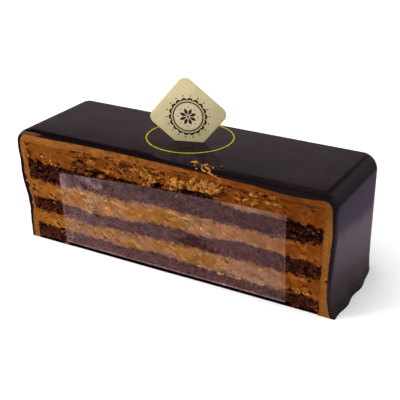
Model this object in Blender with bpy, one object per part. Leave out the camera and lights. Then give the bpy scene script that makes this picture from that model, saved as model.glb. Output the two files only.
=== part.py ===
"""A slice of layered chocolate cake: sponges and creams in a cream coat, glazed on four sides.

The slice lies along X. Its cut face looks towards -Y and shows the layers; the top, both ends
and the back are glazed. The origin is under the middle of the slice, on the surface it stands on.
"""

import math

import bmesh
import bpy
from mathutils import Matrix, Vector, noise

# Driving dimensions, in metres.
LEFT_END = -0.0644
RIGHT_END = 0.0620
CUT_FACE = -0.0209
BACK_FACE = 0.0222
HEIGHT = 0.04315
TOUCHING_GAP = 0.0003

# The glaze: how thick it is, and how its edges are rounded.
GLAZE_AT_LEFT = 0.0013
GLAZE_AT_BACK = 0.0014
LEFT_SHOULDER = 0.0048
RIGHT_SHOULDER = 0.0050
BACK_TOP_ROUND = 0.0034
BACK_LEFT_ROUND = 0.0040
BACK_RIGHT_ROUND = 0.0060
CUT_EDGE_DROP = 0.0005
CUT_EDGE_ROUND = 0.0030

# The left end: a swollen shoulder, a step in below the middle, and a foot that leans in.
SWELL = 0.0007
SWELL_TOP = 0.0360
SWELL_LENGTH = 0.0060
STEP_IN = 0.0026
STEP_TOP = 0.0270
STEP_LENGTH = 0.0150
FOOT_LEAN = 0.0002
FOOT_LEAN_TOP = 0.0100

# The foot of the right end: glaze that ran out over the floor in waves, dying out at the back.
FLARE = 0.0022
FLARE_HEIGHT = 0.0018
FLARE_WAVE = 0.00045
FLARE_WAVE_LENGTH = 0.0135
FLARE_CREST = -0.0105
FLARE_FADE = 0.0160

# The cream coat under the glaze: its right side bulges, and its foot is dragged out.
COAT_RIGHT = 0.0605
COAT_BULGE = 0.0006
COAT_BULGE_AT = 0.0290
COAT_BULGE_SPREAD = 0.0070
COAT_SHARE_OF_FLARE = 0.85
COAT_LEFT_SHOULDER = 0.0036
COAT_RIGHT_SHOULDER = 0.0026
COAT_AT_BACK = 0.0025

# The stack inside the coat: its left side leans, its right side is upright.
STACK_LEFT_FOOT = -0.0569
STACK_LEFT_LEAN = 0.1
STACK_RIGHT = 0.0583
STACK_SHOULDER = 0.0003

# Heights of the seams, read evenly from the left end to the right end.
BASE_SPONGE_TOP = (0.0062, 0.0062, 0.0060, 0.0057, 0.0067, 0.0058, 0.0053, 0.0054, 0.0046)
MID_SPONGE_FLOOR = (0.0117, 0.0122, 0.0112, 0.0119, 0.0123, 0.0125, 0.0128, 0.0124, 0.0128)
MID_SPONGE_TOP = (0.0170, 0.0171, 0.0160, 0.0165, 0.0184, 0.0178, 0.0193, 0.0187, 0.0180)
TOP_SPONGE_FLOOR = (0.0248, 0.0239, 0.0247, 0.0244, 0.0256, 0.0249, 0.0245, 0.0245, 0.0257)
TOP_SPONGE_TOP = (0.0315, 0.0314, 0.0309, 0.0316, 0.0323, 0.0329, 0.0310, 0.0315, 0.0316)
STACK_TOP = (0.0390, 0.0388, 0.0388, 0.0392, 0.0395, 0.0395, 0.0392, 0.0389, 0.0388)
COAT_TOP = (0.0416, 0.0417, 0.0421, 0.0422, 0.0419, 0.0416, 0.0412, 0.0404, 0.0413)
SEAM_WOBBLE = 0.00035
SEAM_WOBBLE_LENGTH = 0.0045

# Relief of the cut face.
LAYER_COLUMNS = 76
LAYER_ROWS = 4
TOP_SPONGE_ROWS = 5
TOP_CREAM_ROWS = 8
SPONGE_SUNK = 0.00030
SPONGE_CRAG = 0.00045
SPONGE_CRAG_LENGTH = 0.0024
CREAM_RIPPLE = 0.00012
CREAM_RIPPLE_LENGTH = 0.0040

# Where the top cream tore as it was cut: x, z, half length, half height, how far it sinks in.
TORN_PATCHES = (
    (-0.0342, 0.0328, 0.0105, 0.0020, 0.0016),
    (-0.0192, 0.0322, 0.0060, 0.0011, 0.0010),
    (-0.0062, 0.0355, 0.0048, 0.0028, -0.0009),
    (0.0038, 0.0356, 0.0050, 0.0026, -0.0008),
    (0.0153, 0.0370, 0.0062, 0.0025, -0.0012),
    (0.0338, 0.0369, 0.0078, 0.0023, -0.0010),
    (-0.0037, 0.0333, 0.0024, 0.0010, 0.0014),
    (0.0103, 0.0335, 0.0048, 0.0008, 0.0012),
)
TORN_GRAIN_LENGTH = 0.0022
TORN_REACH = 1.25
TORN_FADE = 0.6

# The clear film laid on the cut face, by its corners (x, z) and the bow of its top edge.
FILM_TOP_LEFT = (-0.0450, 0.0296)
FILM_TOP_RIGHT = (0.0452, 0.0337)
FILM_FOOT_LEFT = (-0.0435, 0.0018)
FILM_FOOT_RIGHT = (0.0465, 0.0018)
FILM_TOP_BOW = 0.0008
FILM_THICKNESS = 0.0002
FILM_OFF_FACE = 0.0005
FILM_WAVE = 0.00012
FILM_WAVE_LENGTH = 0.0090
FILM_COLUMNS = 22
FILM_ROWS = 7

# The card tag: a rounded square standing on one corner, pushed into the top.
TAG_SIDE = 0.0211
TAG_CORNER = 0.0030
TAG_CORNER_STEPS = 8
TAG_THICKNESS = 0.0004
TAG_EDGE_SOFTENING = 0.00006
TAG_CENTRE = (-0.0022, -0.00095, 0.0528)
TAG_TURN = 18.1
TAG_ROLL = 5.4
TAG_SLOT_CLEARANCE = 0.0003

# The thin gold ring laid on the top.
RING_CENTRE = (-0.0035, 0.00275)
RING_RADIUS = 0.0158
RING_WIDTH = 0.0009
RING_THICKNESS = 0.0001
RING_OFF_TOP = 0.00005
RING_STEPS = 56

# How finely the coat and the glaze are drawn.
SIDE_STEPS = 11
SIDE_STEP_SPACING = 1.7
SHOULDER_STEPS = 6
TOP_STEPS = 14
CUT_EDGE_STEPS = 5
CUT_EDGE_STEP_SPACING = 1.6
MIDDLE_STEPS = 10
BACK_STEPS = 5
CUTTER_REACH = 0.002

# Where each relief reads the noise, so that no two share a pattern.
FINE_CRUMB_PATTERN = 7.0
COARSE_CRUMB_PATTERN = 3.0
CREAM_PATTERN = 5.0
FILM_PATTERN = 11.0
PATTERNS_PER_METRE = 1000.0


def clear_scene():
    for obj in list(bpy.data.objects):
        bpy.data.objects.remove(obj, do_unlink=True)


def material(name, colour, roughness, metallic=0.0):
    made = bpy.data.materials.new(name)
    made.use_nodes = True
    shader = made.node_tree.nodes["Principled BSDF"]
    shader.inputs["Base Color"].default_value = (*colour, 1.0)
    shader.inputs["Roughness"].default_value = roughness
    shader.inputs["Metallic"].default_value = metallic
    return made


def finish(name, bm, finish_material, smooth_angle=None):
    """Turns the bmesh into a named object with its material."""
    bmesh.ops.recalc_face_normals(bm, faces=bm.faces)
    mesh = bpy.data.meshes.new(name)
    bm.to_mesh(mesh)
    bm.free()
    if smooth_angle is not None:
        mesh.shade_smooth()
        mesh.set_sharp_from_angle(angle=math.radians(smooth_angle))
    mesh.materials.append(finish_material)
    obj = bpy.data.objects.new(name, mesh)
    bpy.context.scene.collection.objects.link(obj)
    return obj


def as_guide(obj):
    """Marks a cutter, which is only there to shape other pieces."""
    obj.hide_render = True
    obj.display_type = "WIRE"
    return obj


def cut(obj, cutter):
    modifier = obj.modifiers.new("cut_by_" + cutter.name, "BOOLEAN")
    modifier.operation = "DIFFERENCE"
    modifier.solver = "EXACT"
    modifier.object = cutter


def eased(t):
    t = min(max(t, 0.0), 1.0)
    return t * t * (3.0 - 2.0 * t)


def along(heights, x):
    """Height at x of a seam whose heights are spaced evenly from end to end."""
    place = (x - LEFT_END) / (RIGHT_END - LEFT_END) * (len(heights) - 1)
    first = min(max(int(place), 0), len(heights) - 2)
    rise = heights[first + 1] - heights[first]
    return heights[first] + rise * eased(place - first)


def grain(x, z, size, pattern):
    """Smooth noise from -1 to 1 with features of about this size."""
    return noise.noise(Vector((x / size, pattern, z / size)))


def seam(heights, x):
    """A seam between sponge and cream, with the wobble of a cut through crumb."""
    pattern = heights[0] * PATTERNS_PER_METRE
    return along(heights, x) + SEAM_WOBBLE * grain(x, 0.0, SEAM_WOBBLE_LENGTH, pattern)


# The skins of the slice, each a left side, a right side and a top.

def glaze_left(z):
    swell = SWELL * eased((SWELL_TOP - z) / SWELL_LENGTH)
    step = STEP_IN * eased((STEP_TOP - z) / STEP_LENGTH)
    lean = FOOT_LEAN * (1.0 - min(z / FOOT_LEAN_TOP, 1.0))
    return LEFT_END + swell + step + lean


def coat_left(z):
    return glaze_left(z) + GLAZE_AT_LEFT


def hump(z, centre, spread):
    return math.exp(-(((z - centre) / spread) ** 2))


def coat_right(z):
    return COAT_RIGHT + COAT_BULGE * hump(z, COAT_BULGE_AT, COAT_BULGE_SPREAD)


def glaze_right(z):
    return RIGHT_END


def stack_left(z):
    return STACK_LEFT_FOOT - STACK_LEFT_LEAN * z


def stack_right(z):
    return STACK_RIGHT


def glaze_top(x):
    return HEIGHT


def coat_top(x):
    return along(COAT_TOP, x)


def stack_top(x):
    return along(STACK_TOP, x)


def foot_flare(y):
    """How far the glaze ran out over the floor at its right end, at this depth."""
    wave = math.cos(math.tau * (y - FLARE_CREST) / FLARE_WAVE_LENGTH)
    return (FLARE + FLARE_WAVE * wave) * eased((BACK_FACE - y) / FLARE_FADE)


def arch(skin, inset, foot=0.0, flare=0.0):
    """Points (x, z) round one skin, from the left foot over the top to the right foot.

    The skin is (left, right, top, left shoulder, right shoulder); inset is how far it is drawn
    in at the left, the top and the right; a foot below 0 draws both sides straight down to it;
    flare is how far the right foot runs out.
    """
    left, right, top, left_shoulder, right_shoulder = skin
    in_left, in_top, in_right = inset
    left_x = left(HEIGHT) + in_left
    right_x = right(HEIGHT) - in_right
    left_top = top(left_x + left_shoulder) - in_top
    right_top = top(right_x - right_shoulder) - in_top
    heights = [(step / SIDE_STEPS) ** SIDE_STEP_SPACING for step in range(SIDE_STEPS)]
    turns = [math.pi / 2 * step / SHOULDER_STEPS for step in range(SHOULDER_STEPS + 1)]

    points = [(left(z) + in_left, z) for z in (t * (left_top - left_shoulder) for t in heights)]
    for turn in turns:
        x = left_x + left_shoulder * (1.0 - math.cos(turn))
        points.append((x, left_top - left_shoulder * (1.0 - math.sin(turn))))
    x_from = left_x + left_shoulder
    x_to = right_x - right_shoulder
    for step in range(1, TOP_STEPS):
        x = x_from + (x_to - x_from) * step / TOP_STEPS
        points.append((x, top(x) - in_top))
    for turn in turns:
        x = right_x - right_shoulder * (1.0 - math.sin(turn))
        points.append((x, right_top - right_shoulder * (1.0 - math.cos(turn))))
    for t in reversed(heights):
        z = t * (right_top - right_shoulder)
        points.append((right(z) - in_right + flare * hump(z, 0.0, FLARE_HEIGHT), z))
    if foot < 0.0:
        return [(points[0][0], foot), *points, (points[-1][0], foot)]
    return points


def rounding(distance, width, depth):
    """How far a rounded edge has drawn in at this distance from the face it turns into."""
    if distance >= width:
        return 0.0
    t = 1.0 - distance / width
    return depth * (1.0 - math.sqrt(1.0 - t * t))


def lofted(name, rows, finish_material):
    """A closed block through rows of points, each row an arch at its own y."""
    bm = bmesh.new()
    loops = [[bm.verts.new((x, y, z)) for x, z in points] for y, points in rows]
    for near, far in zip(loops, loops[1:]):
        for i in range(len(near)):
            j = (i + 1) % len(near)
            bm.faces.new((near[i], near[j], far[j], far[i]))
    bm.faces.new(loops[0])
    bm.faces.new(loops[-1])
    return finish(name, bm, finish_material, smooth_angle=35)


def back_distances(largest_round):
    """Distances from the back face at which a rounded back is drawn, ending on the face."""
    turns = [math.pi / 2 * step / BACK_STEPS for step in range(BACK_STEPS + 1)]
    return [largest_round * (1.0 - math.sin(turn)) for turn in turns]


GLAZE_SKIN = (glaze_left, glaze_right, glaze_top, LEFT_SHOULDER, RIGHT_SHOULDER)
COAT_SKIN = (coat_left, coat_right, coat_top, COAT_LEFT_SHOULDER, COAT_RIGHT_SHOULDER)
STACK_SKIN = (stack_left, stack_right, stack_top, STACK_SHOULDER, STACK_SHOULDER)
COAT_BACK = BACK_FACE - GLAZE_AT_BACK
STACK_BACK = COAT_BACK - COAT_AT_BACK
GLAZE_BACK_ROUNDS = (BACK_LEFT_ROUND, BACK_TOP_ROUND, BACK_RIGHT_ROUND)
COAT_BACK_ROUNDS = tuple(r - GLAZE_AT_BACK for r in GLAZE_BACK_ROUNDS)
HALF_GAP = TOUCHING_GAP / 2


def glaze_rows():
    """Rows of the glaze: rounded over at the cut, even along the middle, rounded at the back."""
    rows = []
    for step in range(CUT_EDGE_STEPS + 1):
        distance = CUT_EDGE_ROUND * (step / CUT_EDGE_STEPS) ** CUT_EDGE_STEP_SPACING
        drop = rounding(distance, CUT_EDGE_ROUND, CUT_EDGE_DROP)
        rows.append((CUT_FACE + distance, [drop] * 3))
    start = CUT_FACE + CUT_EDGE_ROUND
    length = BACK_FACE - max(GLAZE_BACK_ROUNDS) - start
    for step in range(MIDDLE_STEPS):
        rows.append((start + length * (step + 1) / (MIDDLE_STEPS + 1), [0.0] * 3))
    for distance in back_distances(max(GLAZE_BACK_ROUNDS)):
        rows.append((BACK_FACE - distance, [rounding(distance, r, r) for r in GLAZE_BACK_ROUNDS]))
    return [(y, arch(GLAZE_SKIN, insets, flare=foot_flare(y))) for y, insets in rows]


def coat_rows(front, grow, foot=0.0):
    """Rows of the coat from this front to its back, with the shape grown or shrunk all round."""
    rows = [(front, [-grow] * 3)]
    for distance in back_distances(max(COAT_BACK_ROUNDS)):
        insets = [rounding(distance, r, r) - grow for r in COAT_BACK_ROUNDS]
        rows.append((COAT_BACK - distance + grow, insets))
    return [
        (y, arch(COAT_SKIN, insets, foot, COAT_SHARE_OF_FLARE * foot_flare(y)))
        for y, insets in rows
    ]


def make_glaze(finish_material):
    """The outer block of the slice, hollowed by the shape of the coat under it."""
    glaze = lofted("glaze", glaze_rows(), finish_material)
    inside = coat_rows(CUT_FACE - CUTTER_REACH, HALF_GAP, -CUTTER_REACH)
    cut(glaze, as_guide(lofted("coat_shape_guide", inside, finish_material)))
    return glaze


def make_coat(finish_material):
    """The cream coat, hollowed by the shape of the stack of layers."""
    coat = lofted("coat", coat_rows(CUT_FACE, -HALF_GAP), finish_material)
    inside = [
        (y, arch(STACK_SKIN, [-HALF_GAP] * 3, -CUTTER_REACH))
        for y in (CUT_FACE - CUTTER_REACH, STACK_BACK + HALF_GAP)
    ]
    cut(coat, as_guide(lofted("stack_shape_guide", inside, finish_material)))
    return coat


# The layers of the stack.

def sponge_relief(x, z):
    """Crumb, sunk a little behind the cut and broken into crags."""
    coarse = grain(x, z, SPONGE_CRAG_LENGTH, COARSE_CRUMB_PATTERN)
    fine = grain(x, z, SPONGE_CRAG_LENGTH / 2, FINE_CRUMB_PATTERN)
    return SPONGE_SUNK + SPONGE_CRAG * (coarse + 0.5 * fine)


def cream_relief(x, z):
    """Cream, smeared nearly flat by the knife."""
    return CREAM_RIPPLE * grain(x, z, CREAM_RIPPLE_LENGTH, CREAM_PATTERN)


def torn_relief(x, z):
    """The top cream: smeared like the others, with torn hollows and lumps along its lower half."""
    depth = cream_relief(x, z)
    for patch_x, patch_z, half_length, half_height, sunk in TORN_PATCHES:
        pattern = patch_x * PATTERNS_PER_METRE
        ragged = 1.0 + 0.5 * grain(x, z, TORN_GRAIN_LENGTH, pattern)
        reach = math.hypot((x - patch_x) / half_length, (z - patch_z) / half_height)
        depth += sunk * ragged * eased((TORN_REACH - reach) / TORN_FADE)
    return depth


def layer(name, floor, ceiling, rows, relief, finish_material):
    """One layer: a grid laid on the cut face, its rim drawn straight back, and a flat back."""
    bm = bmesh.new()
    bmesh.ops.create_grid(bm, x_segments=LAYER_COLUMNS, y_segments=rows, size=0.5)
    for vert in bm.verts:
        across = vert.co.x + 0.5
        up = vert.co.y + 0.5
        seam_x = STACK_LEFT_FOOT + (STACK_RIGHT - STACK_LEFT_FOOT) * across
        low = floor(seam_x)
        z = low + (ceiling(seam_x) - low) * up
        left = stack_left(z) + HALF_GAP
        x = left + (stack_right(z) - HALF_GAP - left) * across
        vert.co = (x, CUT_FACE + relief(x, z), z)

    rim = [edge for edge in bm.edges if edge.is_boundary]
    drawn = bmesh.ops.extrude_edge_only(bm, edges=rim)["geom"]
    for vert in (g for g in drawn if isinstance(g, bmesh.types.BMVert)):
        vert.co.y = STACK_BACK - HALF_GAP
    back_rim = [g for g in drawn if isinstance(g, bmesh.types.BMEdge) and g.is_boundary]
    bmesh.ops.edgeloop_fill(bm, edges=back_rim)
    return finish(name, bm, finish_material, smooth_angle=60)


def above(heights):
    return lambda x: seam(heights, x) + HALF_GAP


def below(heights):
    return lambda x: seam(heights, x) - HALF_GAP


def flat_floor(x):
    return 0.0


def under_coat(x):
    return stack_top(x) - HALF_GAP


def make_sponges(finish_material):
    plan = (
        ("sponge_base", flat_floor, below(BASE_SPONGE_TOP), LAYER_ROWS),
        ("sponge_mid", above(MID_SPONGE_FLOOR), below(MID_SPONGE_TOP), LAYER_ROWS),
        ("sponge_top", above(TOP_SPONGE_FLOOR), below(TOP_SPONGE_TOP), TOP_SPONGE_ROWS),
    )
    for name, floor, ceiling, rows in plan:
        layer(name, floor, ceiling, rows, sponge_relief, finish_material)


def make_creams(finish_material):
    """The three creams, from the lowest up. Returns the top one."""
    low = (above(BASE_SPONGE_TOP), below(MID_SPONGE_FLOOR))
    middle = (above(MID_SPONGE_TOP), below(TOP_SPONGE_FLOOR))
    top = (above(TOP_SPONGE_TOP), under_coat)
    layer("cream_low", *low, LAYER_ROWS, cream_relief, finish_material)
    layer("cream_mid", *middle, LAYER_ROWS, cream_relief, finish_material)
    return layer("cream_top", *top, TOP_CREAM_ROWS, torn_relief, finish_material)


# What lies on the slice.

def make_film(finish_material):
    """A rectangle of clear film, laid on the cut face and rippling a little."""
    bm = bmesh.new()
    bmesh.ops.create_grid(bm, x_segments=FILM_COLUMNS, y_segments=FILM_ROWS, size=0.5)
    for vert in bm.verts:
        across = vert.co.x + 0.5
        up = vert.co.y + 0.5
        foot = Vector(FILM_FOOT_LEFT).lerp(Vector(FILM_FOOT_RIGHT), across)
        head = Vector(FILM_TOP_LEFT).lerp(Vector(FILM_TOP_RIGHT), across)
        head.y += FILM_TOP_BOW * math.sin(math.pi * across)
        x, z = foot.lerp(head, up)
        wave = FILM_WAVE * grain(x, z, FILM_WAVE_LENGTH, FILM_PATTERN)
        vert.co = (x, CUT_FACE - FILM_OFF_FACE + wave, z)
    film = finish("film", bm, finish_material, smooth_angle=60)
    thicken = film.modifiers.new("film_thickness", "SOLIDIFY")
    thicken.thickness = FILM_THICKNESS
    thicken.offset = 0.0
    return film


def tag_blank(name, grow, finish_material, softening=0.0):
    """A rounded square of card, flat in XZ round its own middle; grow widens it all round."""
    half = TAG_SIDE / 2 + grow
    thickness = TAG_THICKNESS + 2 * grow
    bm = bmesh.new()
    bmesh.ops.create_grid(bm, x_segments=1, y_segments=1, size=half)
    bmesh.ops.bevel(
        bm, geom=bm.verts[:], offset=TAG_CORNER + grow, segments=TAG_CORNER_STEPS,
        profile=0.5, affect="VERTICES", material=-1,
    )
    card = bmesh.ops.extrude_face_region(bm, geom=bm.faces[:])["geom"]
    card_verts = [g for g in card if isinstance(g, bmesh.types.BMVert)]
    bmesh.ops.translate(bm, verts=card_verts, vec=(0.0, 0.0, thickness))
    bmesh.ops.translate(bm, verts=bm.verts, vec=(0.0, 0.0, -thickness / 2))
    if softening:
        rim = [edge for edge in bm.edges if abs(edge.calc_face_angle(0.0)) > math.radians(60)]
        bmesh.ops.bevel(
            bm, geom=rim, offset=softening, segments=1, profile=0.5, affect="EDGES", material=-1
        )
    upright = Matrix.Rotation(math.radians(90), 3, "X")
    bmesh.ops.rotate(bm, verts=bm.verts, cent=(0.0, 0.0, 0.0), matrix=upright)
    blank = finish(name, bm, finish_material)
    on_its_corner = Matrix.Rotation(math.radians(-45 - TAG_ROLL), 4, "Y")
    faced = Matrix.Rotation(math.radians(TAG_TURN), 4, "Z")
    blank.matrix_world = Matrix.Translation(TAG_CENTRE) @ faced @ on_its_corner
    return blank


def make_ring(finish_material):
    """A flat band spun round the middle of the ring."""
    floor = HEIGHT + RING_OFF_TOP
    roof = floor + RING_THICKNESS
    inner = RING_RADIUS - RING_WIDTH / 2
    outer = RING_RADIUS + RING_WIDTH / 2
    section = ((inner, floor), (outer, floor), (outer, roof), (inner, roof))
    centre = Vector((*RING_CENTRE, 0.0))
    bm = bmesh.new()
    verts = [bm.verts.new(centre + Vector((radius, 0.0, z))) for radius, z in section]
    edges = [bm.edges.new((verts[i], verts[(i + 1) % 4])) for i in range(4)]
    bmesh.ops.spin(
        bm, geom=verts + edges, cent=centre, axis=(0.0, 0.0, 1.0), angle=math.tau,
        steps=RING_STEPS, use_merge=True,
    )
    bmesh.ops.remove_doubles(bm, verts=bm.verts, dist=0.00001)
    return finish("gold_ring", bm, finish_material, smooth_angle=30)


def main():
    clear_scene()
    glaze_finish = material("dark_glaze", (0.020, 0.012, 0.011), 0.12)
    coat_finish = material("caramel_coat", (0.32, 0.13, 0.045), 0.5)
    cream_finish = material("chocolate_cream", (0.27, 0.10, 0.025), 0.55)
    sponge_finish = material("chocolate_sponge", (0.045, 0.014, 0.008), 0.85)
    film_finish = material("clear_film", (0.75, 0.72, 0.74), 0.15)
    card_finish = material("pale_gold_card", (0.62, 0.53, 0.31), 0.45)
    gold_finish = material("gold_print", (0.55, 0.38, 0.06), 0.35, metallic=0.8)

    glaze = make_glaze(glaze_finish)
    coat = make_coat(coat_finish)
    make_sponges(sponge_finish)
    top_cream = make_creams(cream_finish)
    make_film(film_finish)
    tag_blank("tag", 0.0, card_finish, softening=TAG_EDGE_SOFTENING)
    make_ring(gold_finish)

    slot = as_guide(tag_blank("tag_slot_guide", TAG_SLOT_CLEARANCE, card_finish))
    for pierced in (glaze, coat, top_cream):
        cut(pierced, slot)


main()
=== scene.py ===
# %% [markdown]
# # A glazed slice of layered chocolate cake
#
# The real thing is a bar of sponge and cream, wrapped in caramel-brown cream and coated on four
# sides with a thin mirror glaze. One long side was cut, and shows the layers. A clear film
# clings to that cut, a small card stands in the top, and a thin gold ring lies round the card.
#
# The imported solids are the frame. They give every size, and the pieces made here lie exactly
# where those solids are: smoother where the glaze is poured, rougher where the knife tore.

# %% Load the frame
import math
import random

import bmesh
import bpy
from mathutils import Matrix, Vector, noise
from mathutils.bvhtree import BVHTree

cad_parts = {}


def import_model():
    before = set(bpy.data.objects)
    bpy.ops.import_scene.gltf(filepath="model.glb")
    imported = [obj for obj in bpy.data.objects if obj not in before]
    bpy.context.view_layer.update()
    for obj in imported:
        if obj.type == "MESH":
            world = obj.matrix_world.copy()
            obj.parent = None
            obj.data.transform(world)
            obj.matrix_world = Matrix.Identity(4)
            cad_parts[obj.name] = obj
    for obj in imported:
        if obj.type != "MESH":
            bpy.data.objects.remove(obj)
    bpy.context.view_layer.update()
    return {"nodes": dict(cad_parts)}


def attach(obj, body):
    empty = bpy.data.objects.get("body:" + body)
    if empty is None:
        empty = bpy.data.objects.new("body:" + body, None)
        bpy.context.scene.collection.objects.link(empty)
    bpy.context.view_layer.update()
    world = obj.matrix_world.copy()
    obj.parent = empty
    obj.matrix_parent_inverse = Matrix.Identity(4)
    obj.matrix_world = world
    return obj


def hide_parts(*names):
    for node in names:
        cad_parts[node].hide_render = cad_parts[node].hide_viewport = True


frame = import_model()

MM = 0.001
print("frame nodes:", ", ".join(sorted(frame["nodes"])))

# %% [markdown]
# ## The camera
#
# A product picture like this is taken with a long lens from a little above, which keeps the
# long edges nearly parallel. The camera could be typed in as a location and three angles, but
# a direction and a distance from the middle of the slice are easier to read and to change.

# %% Place the camera
CAMERA_LENS = 78.0
CAMERA_TARGET = Vector((1.74, 0.65, 20.27)) * MM
CAMERA_DISTANCE = 317.73 * MM
CAMERA_AZIMUTH = math.radians(29.17)
CAMERA_ELEVATION = math.radians(24.83)
CAMERA_ROLL = math.radians(0.05)
CAMERA_SENSOR = 36.0
CAMERA_NEAREST = 0.01

away = Vector((
    math.sin(CAMERA_AZIMUTH) * math.cos(CAMERA_ELEVATION),
    -math.cos(CAMERA_AZIMUTH) * math.cos(CAMERA_ELEVATION),
    math.sin(CAMERA_ELEVATION),
))
camera_data = bpy.data.cameras.new("camera")
camera_data.lens = CAMERA_LENS
camera_data.sensor_width = CAMERA_SENSOR
camera_data.clip_start = CAMERA_NEAREST
camera = bpy.data.objects.new("camera", camera_data)
turned = (-away).to_track_quat("-Z", "Y").to_matrix().to_4x4()
camera.matrix_world = (
    Matrix.Translation(CAMERA_TARGET + away * CAMERA_DISTANCE)
    @ turned
    @ Matrix.Rotation(CAMERA_ROLL, 4, "Z")
)
bpy.context.scene.collection.objects.link(camera)
bpy.context.scene.camera = camera
print("camera at", [round(value, 4) for value in camera.matrix_world.translation])

# %% [markdown]
# ## Building node trees in a line or two
#
# Materials are node trees. Clicking them together in the editor is fine for one, but ten
# finishes share the same few effects, so a short helper adds a node, sets its settings and
# joins its inputs in one go. A value that is a socket is linked, anything else is typed in.

# %% Helpers for node trees
def add_node(tree, kind, inputs=None, **settings):
    """Adds a node; inputs are by name or place, and a socket given as a value is linked."""
    made = tree.nodes.new(kind)
    for name, value in settings.items():
        setattr(made, name, value)
    for key, value in (inputs or {}).items():
        if isinstance(value, bpy.types.NodeSocket):
            tree.links.new(value, made.inputs[key])
        else:
            made.inputs[key].default_value = value
    return made


def calculate(tree, operation, first, second=0.0, added=0.0, clamp=False):
    """A Math node's result. Only MULTIPLY_ADD reads what is to be added."""
    values = {0: first, 1: second, 2: added}
    made = add_node(tree, "ShaderNodeMath", values, operation=operation)
    made.use_clamp = clamp
    return made.outputs[0]


def fade(tree, value, from_low, from_high, to_low=0.0, to_high=1.0):
    """The value, moved smoothly from one range to another and held at its ends."""
    made = add_node(
        tree, "ShaderNodeMapRange",
        {"Value": value, "From Min": from_low, "From Max": from_high,
         "To Min": to_low, "To Max": to_high},
        interpolation_type="SMOOTHSTEP",
    )
    return made.outputs[0]


def blend_colours(tree, amount, first, second, mode="MIX"):
    """A Mix node for colours. A colour is three numbers or a socket."""
    made = add_node(tree, "ShaderNodeMix", data_type="RGBA", blend_type=mode)
    made.clamp_factor = True
    factor, colour_a, colour_b = made.inputs[0], made.inputs[6], made.inputs[7]
    for socket, value in ((factor, amount), (colour_a, first), (colour_b, second)):
        if isinstance(value, bpy.types.NodeSocket):
            tree.links.new(value, socket)
        elif isinstance(value, (int, float)):
            socket.default_value = value
        else:
            socket.default_value = (*value, 1.0)
    return made.outputs[2]


def lay_over(tree, colour, mask, strength, top):
    """The colour, with another laid over it where mask times strength is above 0."""
    return blend_colours(tree, calculate(tree, "MULTIPLY", mask, strength), colour, top)


def colour_ramp(tree, value, stops):
    """A ramp through (place, colour) stops. One number is a grey."""
    made = add_node(tree, "ShaderNodeValToRGB", {"Fac": value})
    ramp = made.color_ramp
    while len(ramp.elements) < len(stops):
        ramp.elements.new(1.0)
    for element, (place, colour) in zip(ramp.elements, stops):
        element.position = place
        element.color = (*colour, 1.0) if isinstance(colour, tuple) else (colour,) * 3 + (1.0,)
    return made.outputs[0]


def new_material(name, **sockets):
    """A material with its Principled shader, and that shader's plain values."""
    made = bpy.data.materials.new(name)
    made.use_nodes = True
    shader = made.node_tree.nodes["Principled BSDF"]
    for key, value in sockets.items():
        shader.inputs[key.replace("_", " ")].default_value = value
    return made, made.node_tree, shader


print("node helpers ready")

# %% [markdown]
# ## The studio: a pale floor and soft light
#
# A mirror glaze shows the room more than itself. So the light that shapes the cake and the
# room that the glaze mirrors are set apart. Two large lamps that mirrors don't see, one from
# the left and one overhead, light the crumb and the cream. The glaze sees plain walls that
# are brighter at the left, and a dark ceiling, which draws the black band along the cut edge.
# Two faint glows, low at the right and high overhead, keep the right end from going black.
# The floor is pale. In the glaze it gets painted shade: dark beside the cake, as its shadow,
# and dimmer far away, as under a soft box. Light that bounces off it is painted darker too.

# %% Floor
FLOOR_SIZE = 4.0
FLOOR_BELOW = 0.02 * MM
FLOOR_GREY = 0.95
# To light that bounces off it, the floor is painted darker than the camera sees it, which holds back
# its bounce.
FLOOR_BOUNCE = 0.50
HALF_LENGTH = 62.0 * MM
HALF_DEPTH = 21.5 * MM
# As the glaze mirrors it, the floor gets painted shade that changes with its distance from the
# slice: dark right beside it, as its shadow, brightest a little way off, then dimmer. Beside the
# slice that distance is counted from a slanted line, which crosses the end at the pivot.
FLOOR_MIRROR_REACH = 120.0 * MM
FLOOR_MIRROR_SKEW = -0.11
FLOOR_MIRROR_PIVOT = 37.0 * MM
FLOOR_MIRROR_STOPS = (
    (0.0, (0.22, 0.175, 0.20)), (0.025, (0.31, 0.235, 0.27)), (0.05, (0.39, 0.295, 0.35)),
    (0.12, (0.46, 0.35, 0.425)), (0.140, (0.45, 0.345, 0.42)), (0.172, (0.215, 0.162, 0.232)),
    (0.45, (0.18, 0.138, 0.20)), (0.80, (0.12, 0.098, 0.12)),
)
# Past the left end the mirrored floor gets more painted shade: from where to where, how much
# there and here, and the colour of that shade.
FLOOR_AT_LEFT = (-70.0 * MM, -45.0 * MM, 0.75, 0.0)
FLOOR_AT_LEFT_COLOUR = (0.03, 0.025, 0.03)

floor_bm = bmesh.new()
bmesh.ops.create_grid(floor_bm, x_segments=1, y_segments=1, size=FLOOR_SIZE / 2)
bmesh.ops.translate(floor_bm, verts=floor_bm.verts, vec=(0.0, 0.0, -FLOOR_BELOW))
floor_mesh = bpy.data.meshes.new("floor")
floor_bm.to_mesh(floor_mesh)
floor_bm.free()
floor = bpy.data.objects.new("floor", floor_mesh)
bpy.context.scene.collection.objects.link(floor)

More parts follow.
